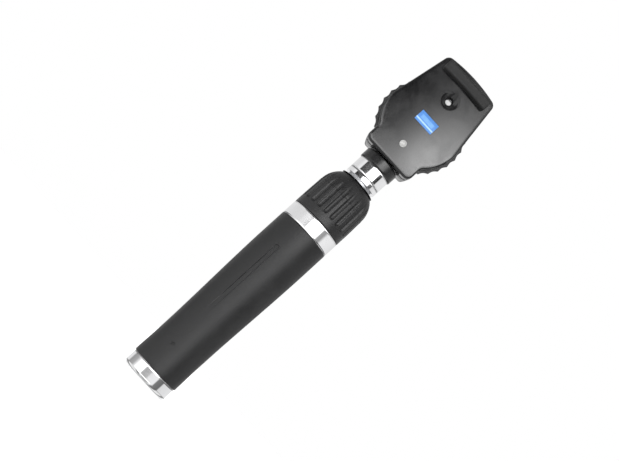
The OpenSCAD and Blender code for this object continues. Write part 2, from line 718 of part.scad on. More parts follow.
module filter_lever() {
    reach = sqrt(lever_x * lever_x + lever_y * lever_y);
    color("#303030") difference() {
        union() {
            translate([lever_x, lever_y, 0]) disc(2, lever_z, lever_z + lever_h, small);
            filter_arm_frame() {
                translate([reach, 0, 0]) disc(3, lever_z, lever_z + lever_h, small);
                translate([0, -0.9, lever_z]) cube([reach - 2.6, 1.8, lever_h]);
            }
            // finger tab through the rear cover
            translate([lever_x, lever_y, lever_z]) rotate([0, 0, 58]) {
                translate([0, -1.1, 0]) cube([13.2, 2.2, lever_h]);
                translate([12.9, -1.7, -0.55]) cube([1.5, 3.4, lever_h + 1.1]);
            }
        }
        translate([lever_x, lever_y, 0]) disc(0.8 + run, lever_z - 1, lever_z + 2, small);
        filter_arm_frame() translate([reach, 0, 0]) disc(2.4, lever_z - 1, lever_z + 2, small);
    }
}

module filter_glass() color([0.3, 0.8, 0.4, 0.6]) filter_arm_frame()
    translate([sqrt(lever_x * lever_x + lever_y * lever_y), 0, 0])
        disc(2.38, lever_z + 0.1, lever_z + lever_h - 0.1, small);

battery_tube();
grip_sleeve();
ring_band();
cell_lower();
cell_upper();
contact_plate();
battery_contact();
core_screws();
handle_core();
feed_rod();
rheostat_track();
collector_ring();
handle_neck();
insulator_bush();
pin_spring();
contact_pin();
rheostat_sleeve();
sleeve_bush();
wiper_carrier();
wiper();
battery_spring();
end_cap();
cap_seal();
neck_socket();
neck_collar();
lamp_base();
lamp_bulb();
chassis();
condenser_tube();
condenser_lens();
objective_tube();
objective_lens();
mirror_holder();
mirror();
front_cover();
rear_cover();
brow_rest();
sight_bush();
badge();
index_window();
patient_window();
window_bezel();
wheel_axle();
axle_washer();
axle_clip();
detent_spring();
detent_ball();
aperture_axle();
filter_axle();
cover_screws();
lens_wheel();
lens_set();
lens_retainer();
number_ring();
aperture_dial();
aperture_disc();
filter_lever();
filter_glass();
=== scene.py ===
"""Looks of a direct ophthalmoscope on a two-cell battery handle, built around its CAD frame.

Sizes in the classes are millimetres of the row frame: +Z up the handle, the examiner's
side faces -Y. Meshes are turned into metres when their object is made.
"""

import logging
import math
from dataclasses import dataclass, field
from enum import Enum
from functools import cache
from typing import Callable, Sequence

import bmesh
import bpy
import numpy as np
from mathutils import Euler, Matrix, Vector


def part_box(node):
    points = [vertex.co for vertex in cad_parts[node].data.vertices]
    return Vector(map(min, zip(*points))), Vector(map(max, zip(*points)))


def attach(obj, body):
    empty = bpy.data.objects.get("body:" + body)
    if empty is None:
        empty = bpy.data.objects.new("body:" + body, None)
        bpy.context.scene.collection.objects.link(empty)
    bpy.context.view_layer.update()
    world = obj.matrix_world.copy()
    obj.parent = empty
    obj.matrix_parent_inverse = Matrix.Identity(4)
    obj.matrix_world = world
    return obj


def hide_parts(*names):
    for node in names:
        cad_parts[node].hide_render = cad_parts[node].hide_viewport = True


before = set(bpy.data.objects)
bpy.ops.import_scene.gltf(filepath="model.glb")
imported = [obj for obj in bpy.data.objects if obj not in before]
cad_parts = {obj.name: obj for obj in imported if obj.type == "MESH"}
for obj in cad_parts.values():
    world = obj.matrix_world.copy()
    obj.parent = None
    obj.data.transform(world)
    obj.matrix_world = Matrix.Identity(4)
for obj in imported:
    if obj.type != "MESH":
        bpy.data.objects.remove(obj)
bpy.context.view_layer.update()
LOG = logging.getLogger("ophthalmoscope")
MM = 0.001

Point = tuple[float, float]
Colour = tuple[float, float, float]


# ---------------------------------------------------------------- places from the frame


@dataclass(frozen=True)
class Span:
    """Box of a CAD node, in millimetres."""

    x0: float
    y0: float
    z0: float
    x1: float
    y1: float
    z1: float

    @classmethod
    def of(cls, node: str) -> "Span":
        """Box of the named CAD node at rest."""
        low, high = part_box(node)
        return cls(*(v / MM for v in (*low, *high)))

    @property
    def centre(self) -> tuple[float, float, float]:
        """Middle of the box."""
        return ((self.x0 + self.x1) / 2, (self.y0 + self.y1) / 2, (self.z0 + self.z1) / 2)


# ---------------------------------------------------------------- profiles


def smooth(t: float) -> float:
    """Smoothstep of t, held to 0..1."""
    u = min(1.0, max(0.0, t))
    return u * u * (3 - 2 * u)


def arc(centre: Point, radius: float, start: float, end: float, count: int) -> list[Point]:
    """Points along an arc.

    Args:
        centre: Centre of the arc.
        radius: Radius of the arc.
        start: First angle, in degrees.
        end: Last angle, in degrees.
        count: Number of steps.

    Returns:
        count + 1 points.
    """
    angles = np.radians(np.linspace(start, end, count + 1))
    return [(centre[0] + radius * math.cos(a), centre[1] + radius * math.sin(a)) for a in angles]


def rounded(corners: Sequence[tuple[float, float, float]], steps: int = 4) -> list[Point]:
    """Closed outline with each corner rounded.

    Args:
        corners: (x, y, radius) of each corner, where radius 0 keeps it sharp.
        steps: Steps round each corner.

    Returns:
        Points of the outline.
    """
    made: list[Point] = []
    n = len(corners)
    for k, (x, y, radius) in enumerate(corners):
        here = np.array((x, y))
        before = np.array(corners[k - 1][:2]) - here
        after = np.array(corners[(k + 1) % n][:2]) - here
        if radius <= 0:
            made.append((x, y))
            continue
        a, b = before / np.linalg.norm(before), after / np.linalg.norm(after)
        reach = radius / math.tan(math.acos(float(np.clip(a @ b, -1, 1))) / 2)
        reach = min(reach, 0.49 * np.linalg.norm(before), 0.49 * np.linalg.norm(after))
        for t in np.linspace(0, 1, steps + 1):
            # a quadratic through the corner is round enough at these sizes
            p = here + a * reach * (1 - t) ** 2 + b * reach * t ** 2
            made.append((float(p[0]), float(p[1])))
    return made


def spread(points: Sequence[Point], pitch: float) -> list[Point]:
    """The closed outline with extra points, so that no step is longer than pitch."""
    made: list[Point] = []
    for a, b in zip(points, [*points[1:], points[0]]):
        count = max(1, math.ceil(math.dist(a, b) / pitch))
        made += [(a[0] + (b[0] - a[0]) * t, a[1] + (b[1] - a[1]) * t)
                 for t in np.linspace(0, 1, count, endpoint=False)]
    return made


# ---------------------------------------------------------------- meshes


def mesh_object(name: str, points: np.ndarray, faces: Sequence[Sequence[int]],
                crease: float = 40) -> bpy.types.Object:
    """Closed mesh object from points in millimetres.

    Args:
        name: Name of the object.
        points: One row of x, y, z for each vertex.
        faces: Vertex numbers of each face, wound one way all over.
        crease: Angle in degrees above which an edge is sharp.

    Returns:
        The object, with its faces outwards.
    """
    mesh = bpy.data.meshes.new(name)
    mesh.from_pydata((np.asarray(points) * MM).tolist(), [], [list(f) for f in faces])
    made = bmesh.new()
    made.from_mesh(mesh)
    bmesh.ops.remove_doubles(made, verts=made.verts, dist=1e-7)
    bmesh.ops.dissolve_degenerate(made, edges=made.edges, dist=1e-8)
    bmesh.ops.delete(made, geom=[e for e in made.edges if e.is_wire], context="EDGES")
    if made.calc_volume(signed=True) < 0:
        bmesh.ops.reverse_faces(made, faces=made.faces)
    made.to_mesh(mesh)
    made.free()
    shade(mesh, crease)
    obj = bpy.data.objects.new(name, mesh)
    bpy.context.scene.collection.objects.link(obj)
    return obj


def shade(mesh: bpy.types.Mesh, crease: float = 40) -> None:
    """Smooth shading with sharp edges above the crease angle, in degrees."""
    mesh.shade_smooth()
    mesh.set_sharp_from_angle(angle=math.radians(crease))


def grid(rows: np.ndarray, loop_rows: bool) -> list[tuple[int, int, int, int]]:
    """Quads of a grid of points whose columns close on themselves.

    Args:
        rows: Array of rows by columns by 3.
        loop_rows: Whether the last row joins the first.

    Returns:
        The quads' vertex numbers.
    """
    n, m = rows.shape[:2]
    count = n if loop_rows else n - 1
    return [(i * m + j, i * m + (j + 1) % m, (i + 1) % n * m + (j + 1) % m, (i + 1) % n * m + j)
            for i in range(count) for j in range(m)]


def revolve(name: str, profile: Sequence[Point], sides: int | np.ndarray = 128,
            relief: Callable[[np.ndarray, np.ndarray, np.ndarray], np.ndarray] | None = None,
            crease: float = 40) -> bpy.types.Object:
    """Solid of revolution about the Z axis.

    Args:
        name: Name of the object.
        profile: Closed outline of (radius, height) points.
        sides: Number of columns, or their angles in radians from +X.
        relief: Gives each point's radius from its angle, radius and height.
        crease: Angle in degrees above which an edge is sharp.

    Returns:
        The object.
    """
    turns = np.linspace(0, 2 * math.pi, sides, endpoint=False) if isinstance(sides, int) else sides
    radius, turn = np.meshgrid([p[0] for p in profile], turns, indexing="ij")
    height = np.repeat(np.array([p[1] for p in profile])[:, None], len(turns), axis=1)
    if relief:
        radius = relief(turn, radius, height)
    rows = np.stack([radius * np.cos(turn), radius * np.sin(turn), height], axis=-1)
    return mesh_object(name, rows.reshape(-1, 3), grid(rows, True), crease)


def turn_to_y(obj: bpy.types.Object, x: float, z: float) -> bpy.types.Object:
    """Lays a solid of revolution along Y: its +Z end points to -Y, centred on x, z."""
    laid = Euler((math.pi / 2, 0, 0)).to_matrix().to_4x4()
    obj.data.transform(Matrix.Translation((x * MM, 0, z * MM)) @ laid)
    return obj


def shift(obj: bpy.types.Object, x: float, y: float, z: float) -> bpy.types.Object:
    """Moves the mesh of a piece by millimetres."""
    obj.data.transform(Matrix.Translation((x * MM, y * MM, z * MM)))
    return obj


def rod(name: str, radius: float, low: float, high: float, sides: int = 64) -> bpy.types.Object:
    """Round cutter standing along Z."""
    return revolve(name, [(0, low), (radius, low), (radius, high), (0, high)], sides)


def block(name: str, low: Sequence[float], high: Sequence[float], edge: float = 0,
          steps: int = 3) -> bpy.types.Object:
    """Block between two corners, its edges rounded by edge."""
    corners = np.array([(x, y, z) for x in (low[0], high[0]) for y in (low[1], high[1])
                        for z in (low[2], high[2])])
    faces = [(0, 1, 3, 2), (4, 6, 7, 5), (0, 4, 5, 1), (2, 3, 7, 6), (0, 2, 6, 4), (1, 5, 7, 3)]
    obj = mesh_object(name, corners, faces)
    if edge:
        bevel(obj, edge, steps)
    return obj


def apply_modifiers(obj: bpy.types.Object, crease: float = 40) -> bpy.types.Object:
    """Replaces the mesh by the one that its modifiers give, and removes them."""
    bpy.context.view_layer.update()
    evaluated = obj.evaluated_get(bpy.context.evaluated_depsgraph_get())
    made = bpy.data.meshes.new_from_object(evaluated)
    obj.modifiers.clear()
    obj.data = made
    shade(made, crease)
    return obj


def bevel(obj: bpy.types.Object, width: float, steps: int = 3, angle: float = 35) -> bpy.types.Object:
    """Rounds the edges that are sharper than the angle in degrees by width in millimetres."""
    modifier = obj.modifiers.new("rounding", "BEVEL")
    modifier.width = width * MM
    modifier.segments = steps
    modifier.limit_method = "ANGLE"
    modifier.angle_limit = math.radians(angle)
    return apply_modifiers(obj)


def cut(obj: bpy.types.Object, *cutters: bpy.types.Object, crease: float = 30) -> bpy.types.Object:
    """Subtracts the cutters from the piece and removes them."""
    for cutter in cutters:
        modifier = obj.modifiers.new("cut", "BOOLEAN")
        modifier.operation = "DIFFERENCE"
        modifier.solver = "EXACT"
        modifier.object = cutter
    apply_modifiers(obj, crease)
    made = bmesh.new()
    made.from_mesh(obj.data)
    bmesh.ops.remove_doubles(made, verts=made.verts, dist=1e-6)
    made.to_mesh(obj.data)
    made.free()
    shade(obj.data, crease)
    for cutter in cutters:
        bpy.data.objects.remove(cutter)
    return obj


def merge(name: str, *parts: bpy.types.Object, crease: float = 40) -> bpy.types.Object:
    """One object that holds the meshes of several closed parts."""
    made = bmesh.new()
    for part in parts:
        made.from_mesh(part.data)
        bpy.data.objects.remove(part)
    mesh = bpy.data.meshes.new(name)
    made.to_mesh(mesh)
    made.free()
    shade(mesh, crease)
    obj = bpy.data.objects.new(name, mesh)
    bpy.context.scene.collection.objects.link(obj)
    return obj


# ---------------------------------------------------------------- node trees


@dataclass
class Graph:
    """Short way to fill a node tree."""

    tree: bpy.types.NodeTree

    def add(self, kind: str, inputs: dict | None = None, **settings: object) -> bpy.types.Node:
        """Adds a node.

        Args:
            kind: Type name of the node.
            inputs: Socket name or number to a value, or to the output that feeds it.
            settings: Attributes of the node.

        Returns:
            The node.
        """
        node = self.tree.nodes.new(kind)
        for key, value in settings.items():
            setattr(node, key, value)
        for key, value in (inputs or {}).items():
            if isinstance(value, bpy.types.NodeSocket):
                self.tree.links.new(value, node.inputs[key])
            else:
                node.inputs[key].default_value = value
        return node

    def math(self, operation: str, *values: object, clamp: bool = False) -> bpy.types.NodeSocket:
        """Output of a Math node with these operands."""
        return self.add("ShaderNodeMath", dict(enumerate(values)), operation=operation,
                        use_clamp=clamp).outputs[0]

    def remap(self, value: bpy.types.NodeSocket, low: float, high: float, to_low: object = 0.0,
              to_high: object = 1.0, soft: bool = False) -> bpy.types.NodeSocket:
        """Output of a Map Range node."""
        return self.add("ShaderNodeMapRange", {0: value, 1: low, 2: high, 3: to_low, 4: to_high},
                        interpolation_type="SMOOTHSTEP" if soft else "LINEAR").outputs[0]

    def blend(self, share: object, a: object, b: object) -> bpy.types.NodeSocket:
        """Colour between a and b."""
        node = self.add("ShaderNodeMix", {0: share}, data_type="RGBA")
        for socket, value in ((node.inputs[6], a), (node.inputs[7], b)):
            if isinstance(value, bpy.types.NodeSocket):
                self.tree.links.new(value, socket)
            else:
                socket.default_value = (*value, 1)
        return node.outputs[2]


def new_group(name: str, kind: str, inputs: dict[str, object],
              outputs: dict[str, str]) -> tuple[Graph, bpy.types.Node, bpy.types.Node]:
    """Starts a node group.

    Args:
        name: Name of the group.
        kind: ShaderNodeTree or GeometryNodeTree.
        inputs: Socket name to its default number, or to a socket type.
        outputs: Socket name to its socket type.

    Returns:
        The graph, its input node and its output node.
    """
    tree = bpy.data.node_groups.new(name, kind)
    for label, value in inputs.items():
        typed = value if isinstance(value, str) else \
            "NodeSocketInt" if isinstance(value, int) else "NodeSocketFloat"
        socket = tree.interface.new_socket(name=label, in_out="INPUT", socket_type=typed)
        if not isinstance(value, str):
            socket.default_value = value
    for label, typed in outputs.items():
        tree.interface.new_socket(name=label, in_out="OUTPUT", socket_type=typed)
    graph = Graph(tree)
    return graph, graph.add("NodeGroupInput"), graph.add("NodeGroupOutput")


FLOAT, VECTOR, GEOMETRY = "NodeSocketFloat", "NodeSocketVector", "NodeSocketGeometry"
OBJECT, MATERIAL = "NodeSocketObject", "NodeSocketMaterial"


@cache
def moulded_grain() -> bpy.types.NodeTree:
    """Fine moulded grain: Shade runs from 0 to 1, Normal carries the relief."""
    g, given, out = new_group("moulded_grain", "ShaderNodeTree",
                              {"Size": 0.0003, "Depth": 0.00001}, {"Shade": FLOAT, "Normal": VECTOR})
    place = g.add("ShaderNodeTexCoord").outputs["Object"]
    scale = g.math("DIVIDE", 1.0, given.outputs["Size"])
    pits = g.add("ShaderNodeTexNoise", {"Vector": place, "Scale": scale, "Detail": 2.0})
    cells = g.add("ShaderNodeTexVoronoi", {"Vector": place, "Scale": scale})
    height = g.math("ADD", g.math("MULTIPLY", pits.outputs[0], 0.6),
                    g.math("MULTIPLY", cells.outputs["Distance"], 0.4))
    bump = g.add("ShaderNodeBump", {"Height": height, "Distance": given.outputs["Depth"], "Strength": 1.0})
    g.tree.links.new(height, out.inputs["Shade"])
    g.tree.links.new(bump.outputs[0], out.inputs["Normal"])
    return g.tree


@cache
def handling_marks() -> bpy.types.NodeTree:
    """Broad faint smears left by fingers, from 0 to 1."""
    g, given, out = new_group("handling_marks", "ShaderNodeTree", {"Size": 0.02, "Seed": 0.0},
                              {"Mask": FLOAT})
    place = g.add("ShaderNodeTexCoord").outputs["Object"]
    turned = g.add("ShaderNodeMapping", {"Vector": place, "Rotation": (0.3, 0.5, 0.2)})
    cloud = g.add("ShaderNodeTexNoise", {"Vector": turned.outputs[0], "W": given.outputs["Seed"],
                                         "Scale": g.math("DIVIDE", 1.0, given.outputs["Size"]),
                                         "Detail": 5.0, "Roughness": 0.62, "Distortion": 0.6},
                  noise_dimensions="4D")
    g.tree.links.new(g.remap(cloud.outputs[0], 0.36, 0.68, soft=True), out.inputs["Mask"])
    return g.tree


@cache
def edge_wear() -> bpy.types.NodeTree:
    """Mask of outer edges rubbed by hands and cases, broken up by noise."""
    g, given, out = new_group("edge_wear", "ShaderNodeTree", {"Threshold": 0.54, "Size": 0.0015},
                              {"Mask": FLOAT})
    edge = g.add("ShaderNodeNewGeometry").outputs["Pointiness"]
    place = g.add("ShaderNodeTexCoord").outputs["Object"]
    patches = g.add("ShaderNodeTexNoise", {"Vector": place, "Detail": 4.0,
                                           "Scale": g.math("DIVIDE", 1.0, given.outputs["Size"])})
    over = g.math("DIVIDE", g.math("SUBTRACT", edge, given.outputs["Threshold"]), 0.06, clamp=True)
    broken = g.remap(patches.outputs[0], 0.42, 0.62, soft=True)
    g.tree.links.new(g.math("MULTIPLY", over, broken), out.inputs["Mask"])
    return g.tree


@cache
def turned_lines() -> bpy.types.NodeTree:
    """Faint lines that a lathe or polishing wheel leaves round the Z axis."""
    g, given, out = new_group("turned_lines", "ShaderNodeTree",
                              {"Pitch": 0.0002, "Depth": 0.000002}, {"Shade": FLOAT, "Normal": VECTOR})
    place = g.add("ShaderNodeTexCoord").outputs["Object"]
    height = g.add("ShaderNodeSeparateXYZ", {0: place}).outputs["Z"]
    lines = g.add("ShaderNodeTexNoise", {"W": g.math("DIVIDE", height, given.outputs["Pitch"]),
                                         "Scale": 1.0, "Detail": 3.0}, noise_dimensions="1D")
    bump = g.add("ShaderNodeBump", {"Height": lines.outputs[0], "Distance": given.outputs["Depth"]})
    g.tree.links.new(lines.outputs[0], out.inputs["Shade"])
    g.tree.links.new(bump.outputs[0], out.inputs["Normal"])
    return g.tree


@cache
def settled_dust() -> bpy.types.NodeTree:
    """Mask of fine specks that gather on moulded plastic."""
    g, given, out = new_group("settled_dust", "ShaderNodeTree", {"Size": 0.0009, "Amount": 0.2},
                              {"Mask": FLOAT})
    place = g.add("ShaderNodeTexCoord").outputs["Object"]
    specks = g.add("ShaderNodeTexVoronoi", {"Vector": place,
                                            "Scale": g.math("DIVIDE", 1.0, given.outputs["Size"])})
    dots = g.remap(specks.outputs["Distance"], 0.05, 0.16, 1.0, 0.0, soft=True)
    g.tree.links.new(g.math("MULTIPLY", dots, given.outputs["Amount"]), out.inputs["Mask"])
    return g.tree


# ---------------------------------------------------------------- finishes


def use(g: Graph, group: bpy.types.NodeTree, **values: float) -> bpy.types.Node:
    """Places a shared effect in a material with its own values."""
    node = g.add("ShaderNodeGroup", node_tree=group)
    for label, value in values.items():
        node.inputs[label.capitalize()].default_value = value
    return node


def join(g: Graph, shader: bpy.types.Node, colour: bpy.types.NodeSocket, rough: bpy.types.NodeSocket,
         normal: bpy.types.NodeSocket) -> None:
    """Feeds a shader its colour, roughness and relief."""
    for socket, value in (("Base Color", colour), ("Roughness", rough), ("Normal", normal)):
        g.tree.links.new(value, shader.inputs[socket])


def start_material(name: str) -> tuple[bpy.types.Material, Graph, bpy.types.Node]:
    """A new material, its graph and its Principled shader."""
    material = bpy.data.materials.new("finish_" + name)
    material.use_nodes = True
    g = Graph(material.node_tree)
    return material, g, material.node_tree.nodes["Principled BSDF"]


@dataclass(frozen=True)
class Plastic:
    """Moulded plastic, rubber or paint, with grain, finger marks, worn edges and dust."""

    name: str
    colour: Colour
    roughness: float = 0.5
    grain: float = 0.35
    depth: float = 0.012
    specular: float = 0.5
    wear: float = 0.25
    dust: float = 0.1
    varied: float = 0.12
    seed: float = 0.0

    def make(self) -> bpy.types.Material:
        """Builds the material."""
        material, g, shader = start_material(self.name)
        grain = use(g, moulded_grain(), size=self.grain * MM, depth=self.depth * MM)
        marks = use(g, handling_marks(), size=0.018, seed=self.seed)
        worn = use(g, edge_wear())
        dust = use(g, settled_dust(), amount=self.dust)
        light = tuple(min(1.0, c * (1 + self.varied) + 0.004) for c in self.colour)
        dark = tuple(c * (1 - self.varied) for c in self.colour)
        rubbed = tuple(min(1.0, c * 1.7 + 0.03) for c in self.colour)
        body = g.blend(g.math("MULTIPLY_ADD", grain.outputs["Shade"], 0.4,
                              g.math("MULTIPLY", marks.outputs[0], 0.6)), dark, light)
        body = g.blend(g.math("MULTIPLY", worn.outputs[0], self.wear), body, rubbed)
        body = g.blend(dust.outputs[0], body, DUST)
        rough = g.math("MULTIPLY_ADD", marks.outputs[0], 0.08, self.roughness - 0.04)
        rough = g.math("SUBTRACT", rough, g.math("MULTIPLY", worn.outputs[0], self.wear * 0.4), clamp=True)
        join(g, shader, body, rough, grain.outputs["Normal"])
        shader.inputs["Specular IOR Level"].default_value = self.specular
        return material


@dataclass(frozen=True)
class Metal:
    """Bare or plated metal with turning lines, finger marks and rubbed edges."""

    name: str
    colour: Colour
    roughness: float = 0.2
    lines: float = 0.25
    depth: float = 0.001
    varied: float = 0.06
    wear: float = 0.2
    seed: float = 0.0

    def make(self) -> bpy.types.Material:
        """Builds the material."""
        material, g, shader = start_material(self.name)
        lines = use(g, turned_lines(), pitch=self.lines * MM, depth=self.depth * MM)
        marks = use(g, handling_marks(), size=0.012, seed=self.seed)
        worn = use(g, edge_wear())
        dull = tuple(c * (1 - self.varied) for c in self.colour)
        bright = tuple(min(1.0, c * 1.08 + 0.02) for c in self.colour)
        body = g.blend(g.math("MULTIPLY", marks.outputs[0], 0.8), self.colour, dull)
        body = g.blend(g.math("MULTIPLY", worn.outputs[0], self.wear), body, bright)
        rough = g.math("MULTIPLY_ADD", lines.outputs["Shade"], 0.04, self.roughness - 0.02)
        rough = g.math("MULTIPLY_ADD", marks.outputs[0], 0.05, rough, clamp=True)
        join(g, shader, body, rough, lines.outputs["Normal"])
        shader.inputs["Metallic"].default_value = 1.0
        return material


@dataclass(frozen=True)
class Glass:
    """Clear or tinted glass with a faint ripple and finger marks."""

    name: str
    colour: Colour = (1.0, 1.0, 1.0)
    roughness: float = 0.02
    index: float = 1.5
    clear: float = 1.0

    def make(self) -> bpy.types.Material:
        """Builds the material."""
        material, g, shader = start_material(self.name)
        ripple = use(g, moulded_grain(), size=0.004, depth=0.000001)
        marks = use(g, handling_marks(), size=0.006)
        tint = g.blend(g.math("MULTIPLY", marks.outputs[0], 0.15), self.colour,
                       tuple(c * 0.92 for c in self.colour))
        rough = g.math("MULTIPLY_ADD", marks.outputs[0], 0.03, self.roughness)
        join(g, shader, tint, rough, ripple.outputs["Normal"])
        shader.inputs["Transmission Weight"].default_value = self.clear
        shader.inputs["IOR"].default_value = self.index
        return material


@dataclass(frozen=True)
class PrintedPlate:
    """Printed metal plate: a blue field with a paler panel and a pale rule, behind lacquer."""

    name: str
    field: Colour
    panel: Colour
    rule: Colour
    node: str

    def make(self) -> bpy.types.Material:
        """Builds the material."""
        material, g, shader = start_material(self.name)
        span = Span.of(self.node)
        place = g.add("ShaderNodeTexCoord").outputs["Object"]
        centre = g.add("ShaderNodeMapping", {"Vector": place,
                                             "Location": tuple(-c * MM for c in span.centre)})
        across = g.add("ShaderNodeSeparateXYZ", {0: centre.outputs[0]})
        half_w, half_h = (span.x1 - span.x0) / 2 * MM, (span.z1 - span.z0) / 2 * MM
        u = g.math("DIVIDE", across.outputs["X"], half_w)
        v = g.math("DIVIDE", across.outputs["Z"], half_h)
        in_x = g.remap(g.math("ABSOLUTE", u), 0.62, 0.8, 1.0, 0.0, soft=True)
        panel = g.math("MULTIPLY", in_x, g.remap(
            g.math("ABSOLUTE", g.math("SUBTRACT", v, 0.18)), 0.26, 0.42, 1.0, 0.0, soft=True))
        rule = g.remap(g.math("ABSOLUTE", g.math("ADD", v, 0.5)), 0.08, 0.16, 1.0, 0.0, soft=True)
        marks = use(g, handling_marks(), size=0.003)
        body = g.blend(g.math("MULTIPLY", marks.outputs[0], 0.25), self.field,
                       tuple(c * 0.85 for c in self.field))
        body = g.blend(g.math("MULTIPLY", panel, 0.6), body, self.panel)
        body = g.blend(rule, body, self.rule)
        rough = g.math("MULTIPLY_ADD", marks.outputs[0], 0.06, 0.25)
        grain = use(g, moulded_grain(), size=0.0004, depth=0.000002)
        join(g, shader, body, rough, grain.outputs["Normal"])
        return material


DUST = (0.42, 0.41, 0.39)
BLACK = (0.0065, 0.0065, 0.007)
RUBBER = (0.012, 0.012, 0.0125)
STEEL = (0.72, 0.73, 0.74)
BRASS = (0.80, 0.58, 0.26)

FINISHES: dict[str, Plastic | Metal | Glass | PrintedPlate] = {
    "grip_rubber": Plastic("grip", RUBBER, 0.4, 0.4, 0.008, specular=0.5, wear=0.15, dust=0.06),
    "sleeve_plastic": Plastic("sleeve", RUBBER, 0.36, 0.4, 0.007, specular=0.55, wear=0.3, dust=0.06,
                              seed=3),
    "bright_chrome": Metal("chrome", (0.93, 0.93, 0.94), 0.04, 0.2, 0.0002, varied=0.02),
    "tube_aluminium": Metal("tube", (0.82, 0.83, 0.84), 0.32, 0.3, 0.002),
    "cell_can": Metal("cell_wrap", (0.30, 0.36, 0.46), 0.38, 1.2, 0.001, varied=0.25),
    "brown_laminate": Plastic("laminate", (0.22, 0.10, 0.045), 0.45, 0.8, 0.01, varied=0.3),
    "contact_brass": Metal("brass", BRASS, 0.24, 0.3, 0.002, varied=0.15),
    "core_alloy": Metal("core", (0.62, 0.63, 0.65), 0.36, 0.35, 0.003),
    "carbon_track": Plastic("track", (0.03, 0.028, 0.026), 0.55, 0.3, 0.01, wear=0.5),
    "ivory_plastic": Plastic("ivory", (0.72, 0.67, 0.52), 0.4, 0.6, 0.004, wear=0.1),
    "carrier_plastic": Plastic("carrier", (0.07, 0.085, 0.05), 0.45, 0.5, 0.006),
    "spring_steel": Metal("spring", STEEL, 0.2, 0.15, 0.001, varied=0.1),
    "seal_rubber": Plastic("seal", (0.012, 0.012, 0.012), 0.62, 0.3, 0.012, specular=0.3),
    "collar_black": Plastic("collar", BLACK, 0.2, 0.5, 0.002, specular=0.6, wear=0.3, dust=0.02),
    "chassis_alloy": Metal("chassis", (0.58, 0.59, 0.61), 0.42, 0.6, 0.004),
    "optic_black": Plastic("optic", (0.010, 0.010, 0.011), 0.6, 0.3, 0.01, specular=0.25),
    "lens_glass": Glass("lens", (0.97, 0.99, 1.0), index=1.52),
    "lamp_glass": Glass("envelope", (1.0, 0.99, 0.96), index=1.47),
    "mirror_silver": Metal("mirror", (0.95, 0.96, 0.97), 0.02, 1.0, 0.0, varied=0.02, wear=0.0),
    "shell_black": Plastic("shell", BLACK, 0.125, 0.6, 0.0012, specular=0.85, wear=0.2, dust=0.015,
                           varied=0.2),
    "brow_rubber": Plastic("brow", (0.014, 0.014, 0.014), 0.5, 0.4, 0.004, specular=0.4, wear=0.1,
                           dust=0.03),
    "bush_black": Plastic("bush", (0.006, 0.006, 0.0065), 0.18, 0.4, 0.001, specular=1.0, dust=0.0),
    "badge_blue": PrintedPlate("plate", (0.075, 0.22, 0.56), (0.20, 0.41, 0.74), (0.34, 0.54, 0.82),
                               "badge"),
    "window_glass": Glass("window", (1.0, 1.0, 1.0), index=1.49),
    "wheel_black": Plastic("wheel", (0.010, 0.010, 0.0105), 0.34, 0.3, 0.004, specular=0.5, wear=0.4),
    "dial_white": Plastic("dial", (0.85, 0.85, 0.82), 0.42, 0.5, 0.002, wear=0.05, dust=0.03),
    "filter_green": Glass("filter", (0.25, 0.78, 0.35), index=1.52),
}


@cache
def finish(slot: str) -> bpy.types.Material:
    """Material of one of the record's slots."""
    return FINISHES[slot].make()


DIAL_INK = Plastic("ink", (0.03, 0.03, 0.035), 0.5, 0.3, 0.002, wear=0.0, dust=0.0)
MAGNIFIER = Glass("magnifier", (0.6, 0.6, 0.59), 0.06, 1.49, clear=0.35)
FILAMENT = Metal("filament", (0.55, 0.53, 0.50), 0.35, 0.1, 0.001)


def fit(obj: bpy.types.Object, body: str, slot: str, *nodes: str,
        material: bpy.types.Material | None = None) -> bpy.types.Object:
    """Dresses a finished piece and ties it to the frame.

    Args:
        obj: The piece, its place in its mesh.
        body: CAD body that it moves with.
        slot: The record's slot that it takes its finish from.
        nodes: CAD nodes that it stands for.
        material: Finish to use in place of the slot's own.

    Returns:
        The piece.
    """
    if not obj.data.materials:
        obj.data.materials.append(material or finish(slot))
    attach(obj, body)
    if nodes:
        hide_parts(*nodes)
    LOG.info("%s rides on %s, %d faces", obj.name, body, len(obj.data.polygons))
    return obj


# ---------------------------------------------------------------- geometry node tools


def run_tree(name: str, tree: bpy.types.NodeTree, values: dict[str, object],
             start: bpy.types.Mesh | None = None, crease: float = 40) -> bpy.types.Object:
    """Runs a geometry node tree on a new object and keeps the plain mesh.

    Args:
        name: Name of the new object.
        tree: The geometry node tree.
        values: Input name to its value.
        start: Mesh that goes into the tree.
        crease: Angle in degrees above which an edge is sharp.

    Returns:
        The object, with no modifier left.
    """
    obj = bpy.data.objects.new(name, start or bpy.data.meshes.new(name))
    bpy.context.scene.collection.objects.link(obj)
    modifier = obj.modifiers.new("made", "NODES")
    modifier.node_group = tree
    for item in tree.interface.items_tree:
        if item.item_type == "SOCKET" and item.in_out == "INPUT" and item.name in values:
            modifier[item.identifier] = values[item.name]
    return apply_modifiers(obj, crease)


def end_tree(g: Graph, out: bpy.types.Node, made: bpy.types.NodeSocket,
             material: bpy.types.NodeSocket) -> None:
    """Closes a tree with Realize Instances and Set Material."""
    real = g.add("GeometryNodeRealizeInstances", {0: made})
    dressed = g.add("GeometryNodeSetMaterial", {"Geometry": real.outputs[0], "Material": material})
    g.tree.links.new(dressed.outputs[0], out.inputs[0])


